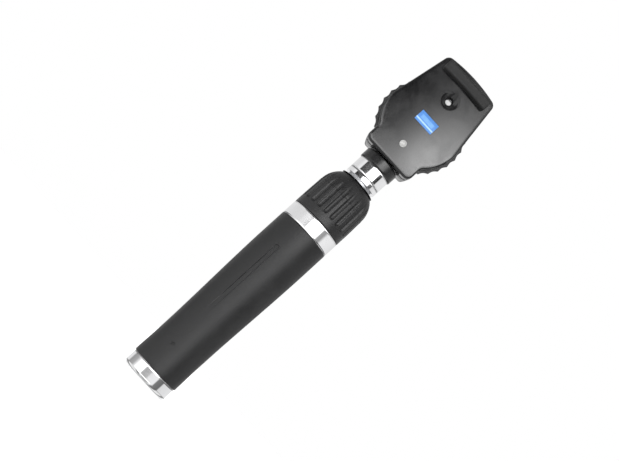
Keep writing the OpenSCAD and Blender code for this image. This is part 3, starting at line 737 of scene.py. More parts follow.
@cache
def placed_copies() -> bpy.types.NodeTree:
    """Puts the Part object on each point of the mesh, turned by the point's own Turn."""
    g, given, out = new_group("placed_copies", "GeometryNodeTree",
                              {"Points": GEOMETRY, "Part": OBJECT, "Size": 1.0, "Material": MATERIAL},
                              {"Geometry": GEOMETRY})
    part = g.add("GeometryNodeObjectInfo", {"Object": given.outputs["Part"]})
    turn = g.add("GeometryNodeInputNamedAttribute", {"Name": "Turn"}, data_type="FLOAT_VECTOR")
    copies = g.add("GeometryNodeInstanceOnPoints", {
        "Points": given.outputs["Points"], "Instance": part.outputs["Geometry"],
        "Rotation": turn.outputs["Attribute"], "Scale": given.outputs["Size"]})
    end_tree(g, out, copies.outputs[0], given.outputs["Material"])
    return g.tree


@cache
def ring_of_copies() -> bpy.types.NodeTree:
    """Puts Count copies of Part round the Z axis at Radius, each turned to face outwards."""
    g, given, out = new_group("ring_of_copies", "GeometryNodeTree",
                              {"Count": 12, "Radius": 0.01, "Skip": 0, "Part": OBJECT, "Material": MATERIAL},
                              {"Geometry": GEOMETRY})
    ring = g.add("GeometryNodeMeshCircle", {"Vertices": given.outputs["Count"],
                                            "Radius": given.outputs["Radius"]})
    number = g.add("GeometryNodeInputIndex").outputs[0]
    step = g.math("DIVIDE", 2 * math.pi, given.outputs["Count"])
    turn = g.add("ShaderNodeCombineXYZ", {2: g.math("MULTIPLY", number, step)})
    kept = g.math("GREATER_THAN", g.math("ADD", number, 0.5), given.outputs["Skip"])
    part = g.add("GeometryNodeObjectInfo", {"Object": given.outputs["Part"]})
    copies = g.add("GeometryNodeInstanceOnPoints", {
        "Points": ring.outputs[0], "Selection": kept, "Instance": part.outputs["Geometry"],
        "Rotation": turn.outputs[0]})
    end_tree(g, out, copies.outputs[0], given.outputs["Material"])
    return g.tree


@cache
def wound_wire() -> bpy.types.NodeTree:
    """Coil of round wire about the Z axis, ground flat at neither end."""
    g, given, out = new_group("wound_wire", "GeometryNodeTree",
                              {"Turns": 5.0, "Foot Radius": 0.009, "Top Radius": 0.0045, "Height": 0.011,
                               "Wire": 0.0005, "Material": MATERIAL}, {"Geometry": GEOMETRY})
    line = g.add("GeometryNodeCurveSpiral", {
        "Resolution": 28, "Rotations": given.outputs["Turns"], "Start Radius": given.outputs["Foot Radius"],
        "End Radius": given.outputs["Top Radius"], "Height": given.outputs["Height"]})
    ring = g.add("GeometryNodeCurvePrimitiveCircle", {"Resolution": 12, "Radius": given.outputs["Wire"]})
    tube = g.add("GeometryNodeCurveToMesh", {"Curve": line.outputs[0], "Profile Curve": ring.outputs[0],
                                             "Fill Caps": True})
    end_tree(g, out, tube.outputs[0], given.outputs["Material"])
    return g.tree


def point_mesh(name: str, places: Sequence[Sequence[float]],
               turns: Sequence[Sequence[float]]) -> bpy.types.Mesh:
    """Mesh of loose points in millimetres, each with its Turn in radians."""
    mesh = bpy.data.meshes.new(name)
    mesh.from_pydata([tuple(c * MM for c in p) for p in places], [], [])
    attribute = mesh.attributes.new("Turn", "FLOAT_VECTOR", "POINT")
    attribute.data.foreach_set("vector", np.array(turns, np.float32).ravel())
    return mesh


# ---------------------------------------------------------------- handle


@dataclass
class GripSleeve:
    """Long rubbery sleeve with a slow swell and a shallow channel on its front."""

    waist_r: float = 14.5
    foot_flare: float = 0.2
    flare_h: float = 16
    swell_h: float = 74
    edge: float = 0.45
    channel: tuple[float, float] = (-5.6, -3.3)
    channel_z: tuple[float, float] = (46.0, 96.4)
    channel_depth: float = 0.5
    channel_bank: float = 0.36
    channel_fade: float = 18
    dent: tuple[float, float] = (-3.8, 23.8)
    dent_depth: float = 0.35
    span: Span = field(default_factory=lambda: Span.of("grip_sleeve"))
    tube: Span = field(default_factory=lambda: Span.of("battery_tube"))

    def radius(self, z: float) -> float:
        """Outer radius at height z."""
        flare_z = self.span.z0 + self.flare_h
        if z < flare_z:
            return self.waist_r + self.foot_flare * smooth((flare_z - z) / self.flare_h)
        return self.waist_r + (self.span.x1 - self.waist_r) * smooth((z - flare_z) / self.swell_h)

    def profile(self) -> list[Point]:
        """Closed outline, from the foot's inner edge up the outside and down the bore."""
        low, high, inner = self.span.z0, self.span.z1, self.tube.x1
        foot, top = self.radius(low), self.radius(high)
        levels = np.concatenate([np.arange(low + self.edge, 22, 1.2), np.arange(22, 26, 0.2),
                                 np.arange(26, 90, 1.6), np.arange(90, 100, 0.25),
                                 np.arange(100, high - self.edge, 1.2)])
        outside = [(self.radius(z), float(z)) for z in levels]
        return [(inner, low), *arc((foot - self.edge, low + self.edge), self.edge, -90, 0, 5)[:-1],
                *outside, *arc((top - self.edge, high - self.edge), self.edge, 0, 90, 5), (inner, high)]

    def relief(self, turn: np.ndarray, radius: np.ndarray, height: np.ndarray) -> np.ndarray:
        """Sinks the channel, whose top end is round and whose foot fades out, and the dent below it."""
        middle, half = sum(self.channel) / 2, (self.channel[1] - self.channel[0]) / 2
        x = radius * np.cos(turn) - middle
        over = np.maximum(0, height - (self.channel_z[1] - half))
        off = np.sqrt(x * x + over * over)
        wall = np.clip((half - off) / self.channel_bank + 0.5, 0, 1)
        fade = np.clip((height - self.channel_z[0]) / self.channel_fade, 0, 1)
        shown = (np.sin(turn) < 0) & (radius > self.tube.x1 + 0.1)
        across = x + middle - self.dent[0]
        along = height - self.dent[1] - 0.4 * across
        dent = np.clip(1.2 - (along / 0.7) ** 2 - (across / 1.1) ** 2, 0, 1)
        groove = self.channel_depth * wall * wall * (3 - 2 * wall) * fade
        return radius - shown * (groove + self.dent_depth * dent)

    def build(self) -> None:
        """Makes the sleeve, with close columns across the channel."""
        front = -math.pi / 2
        near = np.radians(np.arange(-26, -8, 0.32)) + front
        rest = np.radians(np.arange(-8, 334, 2.4)) + front
        obj = revolve("grip_sleeve_moulding", self.profile(), np.concatenate([near, rest]), self.relief)
        fit(obj, "handle", "grip_rubber", "grip_sleeve")


@dataclass
class RheostatSleeve:
    """Rotary sleeve with finger flutes that die out over a round shoulder."""

    flutes: int = 21
    cutter: float = 1.42
    depth: float = 0.95
    flute_z: tuple[float, float] = (6.2, 26.2)
    flute_fade: float = 7.0
    edge: float = 0.45
    taper: float = 0.2
    shoulder_reach: float = 15.47
    shoulder_r: float = 13.8
    shoulder_drop: float = 11.3
    bore_r: float = 13.5
    bush_r: float = 9.9
    span: Span = field(default_factory=lambda: Span.of("rheostat_sleeve"))

    def outside(self) -> list[Point]:
        """Outer line from the foot to the top of the shoulder."""
        centre_x = self.shoulder_reach - self.shoulder_r
        centre_z = self.span.z1 - self.shoulder_drop
        low, radius, edge = self.span.z0, self.span.x1, self.edge
        last = math.degrees(math.asin(self.shoulder_drop / self.shoulder_r))
        start = math.degrees(math.acos(min(1, (radius - 0.12 - centre_x) / self.shoulder_r)))
        straight = [(radius - self.taper * smooth((z - low - 6) / 12), float(z))
                    for z in np.arange(low + edge, centre_z - 0.2, 0.4)]
        return [*arc((radius - edge, low + edge), edge, -90, 0, 5)[:-1], *straight,
                *arc((centre_x, centre_z), self.shoulder_r, start, last - 2, 30)]

    def relief(self, turn: np.ndarray, radius: np.ndarray, height: np.ndarray) -> np.ndarray:
        """Sinks round-ended flutes into the outer surface."""
        pitch = 2 * math.pi / self.flutes
        off = (turn / pitch) % 1 - 0.5
        across = off * pitch * radius
        low, high = (self.span.z0 + z for z in self.flute_z)
        end = np.maximum(0, low - height)
        off2 = across * across + end * end
        lift = self.cutter - self.depth
        sunk = np.sqrt(np.maximum(0, self.cutter ** 2 - off2)) - lift
        fade = np.clip((high - height) / self.flute_fade, 0, 1)
        fade = fade * fade * (3 - 2 * fade)
        shown = (radius > self.bore_r * 0.8) & (height < high)
        return radius - shown * np.maximum(0, sunk - (1 - fade) * self.depth)

    def build(self) -> None:
        """Makes the sleeve, its inner steps as in the frame."""
        bush, shaft = Span.of("sleeve_bush"), Span.of("handle_core").x1
        inside = [(8.4, self.span.z1), (8.4, bush.z1), (self.bush_r, bush.z1), (self.bush_r, bush.z0),
                  (self.bore_r, bush.z0 - 3.85), (self.bore_r, self.span.z0)]
        outer = self.outside()
        top = outer[-1]
        outer += [(top[0] - 0.8, self.span.z1 - 0.02), (shaft - 2.6, self.span.z1)]
        count = len(outer)
        relief = self.relief

        def only_outside(turn: np.ndarray, radius: np.ndarray, height: np.ndarray) -> np.ndarray:
            """Leaves the bore alone."""
            sunk = relief(turn, radius, height)
            sunk[count:] = radius[count:]
            return sunk

        obj = revolve("rheostat_fluted_sleeve", [*outer, *inside], self.flutes * 22, only_outside)
        fit(obj, "rheostat", "sleeve_plastic", "rheostat_sleeve")


@dataclass
class Handle:
    """Sleeve, bright ring, rheostat sleeve and the battery spring."""

    ring_edge: float = 0.35
    grip: GripSleeve = field(default_factory=GripSleeve)
    rheostat: RheostatSleeve = field(default_factory=RheostatSleeve)

    def ring_band(self) -> None:
        """Bright ring between the grip and the rotary sleeve."""
        span, inner = Span.of("ring_band"), Span.of("battery_tube").x1
        edge = self.ring_edge
        profile = [(inner, span.z0), *arc((span.x1 - edge, span.z0 + edge), edge, -90, 0, 5),
                   *arc((span.x1 - edge, span.z1 - edge), edge, 0, 90, 5), (inner, span.z1)]
        obj = revolve("ring_band_turned", spread(profile, 0.6), 160)
        fit(obj, "handle", "bright_chrome", "ring_band")

    @staticmethod
    def coil(node: str, turns: float, wire: float, top_r: float | None = None) -> bpy.types.Object:
        """Coil spring in the place of a CAD node.

        Args:
            node: The CAD node.
            turns: Number of turns.
            wire: Radius of the wire.
            top_r: Radius of the top turn, when it isn't the foot's.

        Returns:
            The spring.
        """
        span = Span.of(node)
        foot_r = span.x1 - wire
        made = run_tree(f"{node}_wire", wound_wire(), {
            "Turns": turns, "Foot Radius": foot_r * MM, "Top Radius": (top_r or foot_r) * MM,
            "Height": (span.z1 - span.z0 - 2 * wire) * MM, "Wire": wire * MM,
            "Material": finish("spring_steel")})
        return shift(made, 0, 0, span.z0 + wire)

    def springs(self) -> None:
        """Battery spring on the end cap and the little spring under the contact pin."""
        cone = self.coil("battery_spring", 5.0, 0.55, 4.5)
        fit(cone, "cap_slider", "spring_steel", "battery_spring")
        fit(self.coil("pin_spring", 6.0, 0.22), "handle", "spring_steel", "pin_spring")

    def build(self) -> None:
        """Makes every piece of the handle."""
        self.grip.build()
        self.ring_band()
        self.rheostat.build()
        self.springs()


@dataclass
class EndCap:
    """Screw cap with a rolled bottom edge and a threaded spigot."""

    edge: float = 1.8
    rim_edge: float = 0.25
    floor: float = 2.2
    groove: tuple[float, float] = (9.5, 10.5)
    groove_depth: float = 0.3
    bore_r: float = 11.8
    pitch: float = 1.25
    thread: float = 0.4
    seal_seat: float = 0.75
    span: Span = field(default_factory=lambda: Span.of("end_cap"))

    def build(self) -> None:
        """Makes the cap from one turned outline, its thread as three crests."""
        rim = Span.of("grip_sleeve").z0 - 0.15
        spigot = Span.of("battery_tube").x1 - 0.6
        crests: list[Point] = []
        for k in range(3):
            z = rim + 2.1 + self.pitch * k
            crests += [(spigot, z), (spigot, z + 0.5), (spigot - self.thread, z + 0.8),
                       (spigot - self.thread, z + 1.0)]
        outer, top, seat = self.span.x1, self.span.z1, spigot - self.seal_seat
        start, end = self.groove
        profile = [(0, 0), (start, 0), (start + 0.2, self.groove_depth), (end - 0.2, self.groove_depth),
                   (end, 0), *arc((outer - self.edge, self.edge), self.edge, -90, 0, 10),
                   *arc((outer - self.rim_edge, rim - self.rim_edge), self.rim_edge, 0, 90, 4),
                   (spigot, rim), (spigot, rim + 0.7), (seat, rim + 0.7), (seat, rim + 1.9), *crests,
                   (spigot - self.thread, top), (self.bore_r, top), (self.bore_r, self.floor),
                   (0, self.floor)]
        obj = revolve("end_cap_turned", spread(profile, 0.6), 160, crease=28)
        fit(obj, "end_cap", "bright_chrome", "end_cap")


@dataclass
class Neck:
    """Two bright rings and the black collar between handle and head."""

    edge: float = 0.22
    seam: float = 0.15
    stud_r: float = 7.4
    stud_bore_r: float = 5.25
    lugs: int = 3
    lug_r: float = 8.35
    lug_rise: float = 3.4
    lug_h: float = 1.5
    lug_span: float = 24
    socket_r: float = 7.5
    roof_r: float = 4.9
    roof: float = 0.7
    groove_r: float = 8.45
    bayonet_turn: float = 60
    lamp_r: float = 4.1
    flange_r: float = 4.75
    flange_h: float = 0.8
    spigot_r: float = 7

    def lower_ring(self) -> None:
        """Ring and bayonet stud that stay on the handle."""
        span, seam = Span.of("handle_neck"), Span.of("neck_socket").z0 - self.seam
        outer, stud, bore, edge = span.x1, self.stud_r, self.stud_bore_r, self.edge
        profile = rounded([(bore, span.z0, 0), (outer, span.z0, edge), (outer, seam, edge), (stud, seam, 0.1),
                           (stud, span.z1, 0.25), (bore, span.z1, 0)])
        body = revolve("neck_stud", spread(profile, 0.6), 144)
        lug_z = seam + self.lug_rise
        lugs = []
        for k in range(self.lugs):
            points, faces = self.lug(360 / self.lugs * k, stud - 0.2, self.lug_r, lug_z, self.lug_h)
            lugs.append(mesh_object(f"lug_{k}", points, faces))
        cut(body, rod("bore", Span.of("handle_core").x1 + 0.02, span.z0 - 1, span.z0 + 1.82))
        fit(merge("neck_lower_ring", body, *lugs), "handle", "bright_chrome", "handle_neck")

    def lug(self, middle: float, inner: float, outer: float, z: float,
            height: float) -> tuple[np.ndarray, list[tuple[int, ...]]]:
        """Points and faces of one bayonet lug.

        Args:
            middle: Angle of its middle, in degrees.
            inner: Inner radius.
            outer: Outer radius.
            z: Height of its underside.
            height: How tall it is.

        Returns:
            The points, and the vertex numbers of each face.
        """
        top = z + height
        section = rounded([(inner, z, 0), (outer, z, 0.2), (outer, top, 0.2), (inner, top, 0)])
        turns = np.radians(middle + np.linspace(-0.5, 0.5, 11) * self.lug_span)
        rows = np.array([[(r * math.cos(t), r * math.sin(t), h) for r, h in section] for t in turns])
        faces: list[tuple[int, ...]] = list(grid(rows, False))
        count = len(section)
        faces.append(tuple(range(count - 1, -1, -1)))
        faces.append(tuple(range((len(turns) - 1) * count, len(turns) * count)))
        return rows.reshape(-1, 3), faces

    def upper_ring(self) -> None:
        """Ring that leaves with the head, with the bayonet's groove and entry slots."""
        span = Span.of("neck_socket")
        outer, bore, edge, roof_z = span.x1, self.socket_r, self.edge, span.z1 - self.roof
        profile = rounded([(bore, span.z0, 0.1), (outer, span.z0, edge), (outer, span.z1, 0.1),
                           (self.roof_r, span.z1, 0), (self.roof_r, roof_z, 0), (bore, roof_z, 0)])
        body = revolve("neck_upper_ring", spread(profile, 0.6), 144)
        lug_z = span.z0 - self.seam + self.lug_rise
        groove = rod("groove", self.groove_r, lug_z - 0.2, lug_z + self.lug_h + 0.2, 96)
        slots = []
        for k in range(self.lugs):
            points, faces = self.lug(360 / self.lugs * k - self.bayonet_turn, bore - 0.5, self.groove_r,
                                     span.z0 - 1, lug_z - span.z0 + 2.4)
            slots.append(mesh_object(f"slot_{k}", points, faces))
        cut(body, groove, *slots)
        fit(body, "head", "bright_chrome", "neck_socket")

    def collar(self) -> None:
        """Black collar with a chamfered foot and the seat of the lamp."""
        span = Span.of("neck_collar")
        outer, low, high = span.x1, Span.of("neck_socket").z1, Span.of("rear_cover").z0
        step, lamp_r, spigot_r = Span.of("lamp_base").z0 + self.flange_h, self.lamp_r, self.spigot_r
        profile = rounded([(self.flange_r, low, 0), (outer - 0.55, low, 0.2), (outer, low + 0.75, 0.3),
                           (outer, high - 0.4, 0.3), (outer - 0.4, high, 0.2), (lamp_r, high, 0),
                           (lamp_r, step, 0), (self.flange_r, step, 0)], 5)
        collar = revolve("collar_body", spread(profile, 0.8), 144)
        spigot = revolve("collar_spigot", [(lamp_r, high - 0.01), (spigot_r, high - 0.01),
                                           (spigot_r, span.z1), (lamp_r, span.z1)], 96)
        front = Span.of("chassis").y0
        cut(spigot, block("front", (-9, -12, high - 1), (9, front, high + 4)))
        fit(merge("collar_moulding", collar, spigot), "head", "collar_black", "neck_collar")

    def build(self) -> None:
        """Makes the rings and the collar."""
        self.lower_ring()
        self.upper_ring()
        self.collar()


# ---------------------------------------------------------------- head


@dataclass(frozen=True)
class HeadOutline:
    """Front outline of the head: a block, flanks round the lens wheel and a long top arc."""

    wheel_z: float
    top_z: float
    flank_r: float = 23.1
    lean: float = 9
    block_w: float = 16.1
    top_r: float = 95
    corner_r: float = 3.6
    blend_r: float = 4
    shoulder_r: float = 3.5

    def half(self, inset: float, bottom: float) -> list[Point]:
        """Right half, drawn inwards by inset, from the bottom's middle to the top's."""
        corner, block = max(1.2, self.corner_r - inset), self.block_w - inset
        flank, blend = self.flank_r - inset, self.blend_r + inset
        shoulder, top = max(1.2, self.shoulder_r - inset), self.top_r - inset
        cx = block + blend
        cz = self.wheel_z - math.sqrt((flank + blend) ** 2 - cx * cx)
        arc_z = self.top_z - self.top_r
        lean = math.radians(self.lean)
        # the shoulder's centre: shoulder inside the flank's line and inside the top arc
        px = (flank - shoulder) * math.cos(lean)
        pz = self.wheel_z - arc_z + (flank - shoulder) * math.sin(lean)
        b = -px * math.sin(lean) + pz * math.cos(lean)
        t = -b + math.sqrt(b * b - (px * px + pz * pz - (top - shoulder) ** 2))
        kx, kz = px - t * math.sin(lean), arc_z + pz + t * math.cos(lean)
        top_turn = math.degrees(math.atan2(kz - arc_z, kx))
        blend_turn = math.degrees(math.atan2(cz - self.wheel_z, cx))
        floor = bottom + inset
        lower = arc((block - corner, floor + corner), corner, -90, 0, 8)
        foot = [(x, floor) for x in np.linspace(0, lower[0][0], 8, endpoint=False)]
        flanks = arc((0, self.wheel_z), flank, blend_turn, self.lean, 30)
        shoulders = arc((kx, kz), shoulder, self.lean, top_turn, 8)
        rise = [tuple(np.array(flanks[-1]) + (np.array(shoulders[0]) - np.array(flanks[-1])) * s)
                for s in np.linspace(0, 1, 12)[1:-1]]
        crown = arc((0, arc_z), top, top_turn, 90, 14)
        blends = arc((cx, cz), blend, 180, 180 + blend_turn, 8)
        return [*foot, *lower, *blends[:-1], *flanks, *rise, *shoulders, *crown[1:]]

    def ring(self, inset: float, bottom: float) -> np.ndarray:
        """Whole outline as an array of (x, z), the same number of points at any inset."""
        right = self.half(inset, bottom)
        left = [(-x, z) for x, z in right[-2:0:-1]]
        return np.array([*right, *left])


@dataclass
class HeadShell:
    """The two covers of the head and what is fitted to them."""

    wall: float = 1.8
    plate_y: float = -4.1
    screw_r: float = 1.6
    screw_edge: float = 0.42
    shank_r: float = 0.7
    front_edge: float = 1.35
    crown_x: float = 0.85
    crown_z: float = 0.08
    outline: HeadOutline = field(default_factory=lambda: HeadOutline(
        Span.of("lens_wheel").centre[2], Span.of("front_cover").z1))
    front: Span = field(default_factory=lambda: Span.of("front_cover"))
    rear: Span = field(default_factory=lambda: Span.of("rear_cover"))

    def crown(self, x: np.ndarray, z: np.ndarray) -> np.ndarray:
        """How far the front face falls back from its highest point, at x, z."""
        rise = (z - self.outline.wheel_z - 4) / 33
        return self.crown_x * (x / 23) ** 2 + self.crown_z * rise ** 2

    def cover(self, name: str, bottom: float, outer: Sequence[Point], inner: Sequence[Point],
              bulge: Callable[[np.ndarray, np.ndarray], np.ndarray] | None) -> bpy.types.Object:
        """Hollow cover swept round the head's outline.

        Args:
            name: Name of the object.
            bottom: Height of the outline's foot.
            outer: (inset, y) from the open rim to the closed face, outside.
            inner: (inset, y) from the closed face back to the rim, inside.
            bulge: Extra depth of the outer face at x, z.

        Returns:
            The closed shell.
        """
        centre = np.array((0.0, self.outline.wheel_z + 3))
        shares = np.array((0.97, 0.92, 0.84, 0.74, 0.63, 0.52, 0.41, 0.3, 0.19, 0.09, 0.0))
        rows: list[np.ndarray] = []

        def row(ring: np.ndarray, y: float, bulged: float) -> None:
            """Adds one row of points."""
            depth = np.full(len(ring), y)
            if bulge is not None and bulged:
                depth = depth + bulged * bulge(ring[:, 0], ring[:, 1])
            rows.append(np.stack([ring[:, 0], depth, ring[:, 1]], axis=-1))

        rim, flat = outer[0][1], outer[-1][1]
        for inset, y in outer:
            row(self.outline.ring(inset, bottom), y, (y - rim) / (flat - rim))
        face = self.outline.ring(outer[-1][0], bottom)
        for share in shares:
            row(centre + (face - centre) * share, outer[-1][1], 1.0)
        face = self.outline.ring(inner[0][0], bottom)
        for share in shares[::-1]:
            row(centre + (face - centre) * share, inner[0][1], 0.0)
        for inset, y in inner:
            row(self.outline.ring(inset, bottom), y, 0.0)
        points = np.array(rows)
        return mesh_object(name, points.reshape(-1, 3), grid(points, True), crease=30)

    def wheel_slot(self, name: str) -> bpy.types.Object:
        """Round cutter that clears the lens wheel."""
        wheel = Span.of("lens_wheel")
        x, _, z = wheel.centre
        return turn_to_y(rod(name, wheel.x1 + 0.5, -wheel.y1 - 0.6, -wheel.y0 + 0.6, 160), x, z)

    def front_cover(self) -> None:
        """Glossy front cover with its holes and the badge's recess."""
        face, rim, edge = self.front.y0, self.front.y1, self.front_edge
        side = [(0.0, y) for y in np.linspace(rim, face + edge, 7)]
        turn = np.radians(np.linspace(0, 90, 9))[1:]
        outer = [*side, *((edge * (1 - math.cos(a)), face + edge * (1 - math.sin(a))) for a in turn)]
        inner = [(self.wall + 0.4, face + self.wall), (self.wall, face + self.wall + 0.5), (self.wall, rim)]
        obj = self.cover("front_cover_shell", self.front.z0, outer, inner, self.crown)
        sight, index, badge = Span.of("sight_bush"), Span.of("index_window"), Span.of("badge")
        holes = [turn_to_y(rod("sight_hole", sight.x1 + 0.03, 10, 16, 96), 0, sight.centre[2]),
                 turn_to_y(rod("index_hole", index.x1 + 0.04, 10, 16, 48), 0, index.centre[2])]
        recess = block("recess", (badge.x0 - 0.1, face - 1, badge.z0 - 0.1),
                       (badge.x1 + 0.1, badge.y1 + 0.06, badge.z1 + 0.1))
        cut(obj, self.wheel_slot("front_slot"), *holes, recess)
        fit(obj, "head", "shell_black", "front_cover")

    def rear_cover(self) -> None:
        """Deep rear cover with its window, slots and screw seats."""
        back, rim, wall = self.rear.y1, self.rear.y0, self.wall
        start, inset, deep, wide = 8.2, 1.25, back - 8.2, 3.6
        draft = [(0.25 + (inset - 0.25) * ((y - rim) / (start - rim)) ** 1.5, float(y))
                 for y in np.linspace(rim, start, 9)]
        turn = np.radians(np.linspace(0, 90, 10))[1:]
        outer = [*draft, *((inset + wide * (1 - math.cos(a)), start + deep * math.sin(a)) for a in turn)]
        inner = [(6.3, back - wall), (5.0, back - wall - 0.5), (3.9, back - wall - 2.2), (3.2, 5.0),
                 (2.3, rim)]
        obj = self.cover("rear_cover_shell", self.rear.z0, outer, inner, None)
        chassis, bezel, dial = Span.of("chassis"), Span.of("window_bezel"), Span.of("aperture_dial")
        lever, floor = Span.of("filter_lever"), chassis.z0
        spigot = [rod("spigot_hole", 7.1, self.rear.z0 - 1, self.rear.z0 + wall + 1, 96),
                  rod("foot_seat", 8.4, floor - 0.02, floor + 2, 96),
                  block("plate_seat", (chassis.x0 - 0.2, chassis.y0 - 0.2, floor - 0.02),
                        (chassis.x1 + 0.2, self.plate_y, floor + 4.2))]
        x, y, z = dial.centre
        dial_slot = shift(rod("dial_slot", dial.x1 + 0.4, dial.z0 - 0.4, dial.z1 + 0.4, 96), x, y, 0)
        window = block("window_hole", (bezel.x0 - 0.02, back - wall - 2, bezel.z0 - 0.02),
                       (bezel.x1 + 0.02, back + 1, bezel.z1 + 0.02))
        arm_z = (lever.z0 + lever.z1) / 2
        lever_slot = block("lever_slot", (-4.6, back - wall - 1.5, arm_z - 0.8),
                           (14.8, back + 2, arm_z + 0.8), 0.3)
        seats = []
        for k, (sx, sz) in enumerate(self.screw_places()):
            seats.append(turn_to_y(rod(f"screw_hole_{k}", 0.85, -back - 1, -back + 5, 24), sx, sz))
            seats.append(turn_to_y(rod(f"screw_seat_{k}", 1.7, -back - 1, -back + 1, 40), sx, sz))
        cut(obj, self.wheel_slot("rear_slot"), *spigot, dial_slot, window, lever_slot, *seats)
        fit(obj, "head", "shell_black", "rear_cover")

    def screw_places(self) -> list[Point]:
        """(x, z) of the four screws that hold the rear cover."""
        span, head = Span.of("cover_screws"), self.screw_r
        high, low = span.z1 - head, span.z0 + head
        return [(s * x, z) for s in (-1, 1) for x, z in ((span.x1 - head, high), (6.5, low))]

    def screws(self) -> None:
        """Four pan-head screws with cross recesses."""
        span, head_r, edge = Span.of("cover_screws"), self.screw_r, self.screw_edge
        head = revolve("screw_head", [(0, -1), (head_r, -1), (head_r, -0.45),
                                      *arc((head_r - edge, -0.45), edge, 0, 70, 4), (0.6, 0.0), (0, 0.0)], 40)
        cut(head, block("bar_a", (-0.95, -0.2, -0.5), (0.95, 0.2, 1)),
            block("bar_b", (-0.2, -0.95, -0.5), (0.2, 0.95, 1)))
        places = [(x, span.y1, z) for x, z in self.screw_places()]
        lying = Euler((-math.pi / 2, 0, 0)).to_matrix().to_4x4()
        turns = [tuple((lying @ Matrix.Rotation(0.4 + 0.7 * k, 4, "Z")).to_euler())
                 for k in range(len(places))]
        heads = run_tree("screw_heads", placed_copies(), {"Part": head, "Material": finish("spring_steel")},
                         point_mesh("screw_points", places, turns))
        bpy.data.objects.remove(head)
        shanks = []
        for k, (x, z) in enumerate(self.screw_places()):
            depth = Span.of("chassis").y0 if k % 2 else span.y0
            shank = revolve(f"shank_{k}", self.thread(self.shank_r, -span.y1 + 1, -depth), 24, crease=60)
            shanks.append(turn_to_y(shank, x, z))
        fit(merge("cover_screw_set", heads, *shanks), "head", "spring_steel", "cover_screws")

    @staticmethod
    def thread(radius: float, low: float, high: float) -> list[Point]:
        """Outline of a threaded shank from low to high."""
        crests: list[Point] = []
        for z in np.arange(low + 0.6, high - 0.6, 0.5):
            crests += [(radius, float(z)), (radius - 0.16, float(z) + 0.25)]
        return [(0, low), (radius - 0.1, low), *crests, (radius * 0.7, high), (0, high)]

    def brow_rest(self) -> None:
        """Soft bar across the top of the front, its underside a slow arch."""
        span, root, edge = Span.of("brow_rest"), self.front.y0 + 1.1, 1.25
        obj = block("brow_rest_pad", (span.x0, span.y0, span.z0 + 0.15), (span.x1, root, span.z1))
        made = bmesh.new()
        made.from_mesh(obj.data)
        bmesh.ops.delete(made, geom=[f for f in made.faces if f.normal.y > 0.9], context="FACES_ONLY")
        made.to_mesh(obj.data)
        made.free()
        bevel(obj, edge, 6)
        made = bmesh.new()
        made.from_mesh(obj.data)
        for x in np.linspace(span.x0, span.x1, 33)[1:-1]:
            bmesh.ops.bisect_plane(made, geom=[*made.verts, *made.edges, *made.faces], dist=1e-7,
                                   plane_co=(x * MM, 0, 0), plane_no=(1, 0, 0))
        for z in np.linspace(span.z0, span.z1, 9)[2:-2]:
            bmesh.ops.bisect_plane(made, geom=[*made.verts, *made.edges, *made.faces], dist=1e-7,
                                   plane_co=(0, 0, z * MM), plane_no=(0, 0, 1))
        mid_z, half_x = (span.z0 + span.z1) / 2 * MM, span.x1 * MM
        for v in made.verts:
            along = 1 - (v.co.x / half_x) ** 2
            if v.co.z < mid_z:
                v.co.z += 0.55 * MM * along * (mid_z - v.co.z) / (mid_z - span.z0 * MM)
            front = max(0.0, 1 - (v.co.y - span.y0 * MM) / (1.2 * MM))
            swell = max(0.0, 1 - ((v.co.z - mid_z) / (2.4 * MM)) ** 2)
            v.co.y += 0.08 * MM * front * swell * min(1.0, along * 4)
        bmesh.ops.holes_fill(made, edges=[e for e in made.edges if e.is_boundary], sides=0)
        bmesh.ops.recalc_face_normals(made, faces=made.faces)
        made.to_mesh(obj.data)
        made.free()
        shade(obj.data, 50)
        fit(obj, "head", "brow_rubber", "brow_rest")

    def sight_bush(self) -> None:
        """Black eyepiece dish with a small sight hole."""
        span = Span.of("sight_bush")
        front, back, outer, hole = -span.y0, -span.y1, span.x1, 2.2
        dish = [(outer - 0.3, front - 0.04), (outer - 0.5, front - 0.2), (outer - 1.05, front - 0.85),
                (outer - 1.7, front - 1.5), (outer - 2.4, front - 2.0), (hole + 0.35, front - 2.4),
                (hole + 0.1, front - 2.5), (hole, front - 2.65)]
        profile = [(hole, back), (3.2, back), (3.2, back + 0.4), (outer, front - 2), (outer, front - 0.18),
                   *arc((outer - 0.2, front - 0.2), 0.2, 0, 90, 4), *dish]
        obj = turn_to_y(revolve("sight_dish", profile, 128, crease=50), 0, span.centre[2])
        fit(obj, "head", "bush_black", "sight_bush")

    def badge(self) -> None:
        """Thin printed plate with softened edges."""
        span = Span.of("badge")
        obj = block("badge_plate", (span.x0, span.y0, span.z0), (span.x1, span.y1, span.z1), 0.12, 3)
        fit(obj, "head", "badge_blue", "badge")

    def index_window(self) -> None:
        """Little domed magnifier over the dial numbers."""
        span, dome = Span.of("index_window"), 3.0
        rim, back, radius = -self.front.y0 + 0.05, -span.y1, span.x1
        turn = math.degrees(math.acos(radius / dome))
        cap = arc((0, rim - math.sqrt(dome ** 2 - radius ** 2)), dome, turn, 90, 12)
        obj = revolve("index_magnifier", [(0, back), (radius, back), *cap], 64, crease=50)
        fit(turn_to_y(obj, 0, span.centre[2]), "head", "window_glass", "index_window",
            material=MAGNIFIER.make())

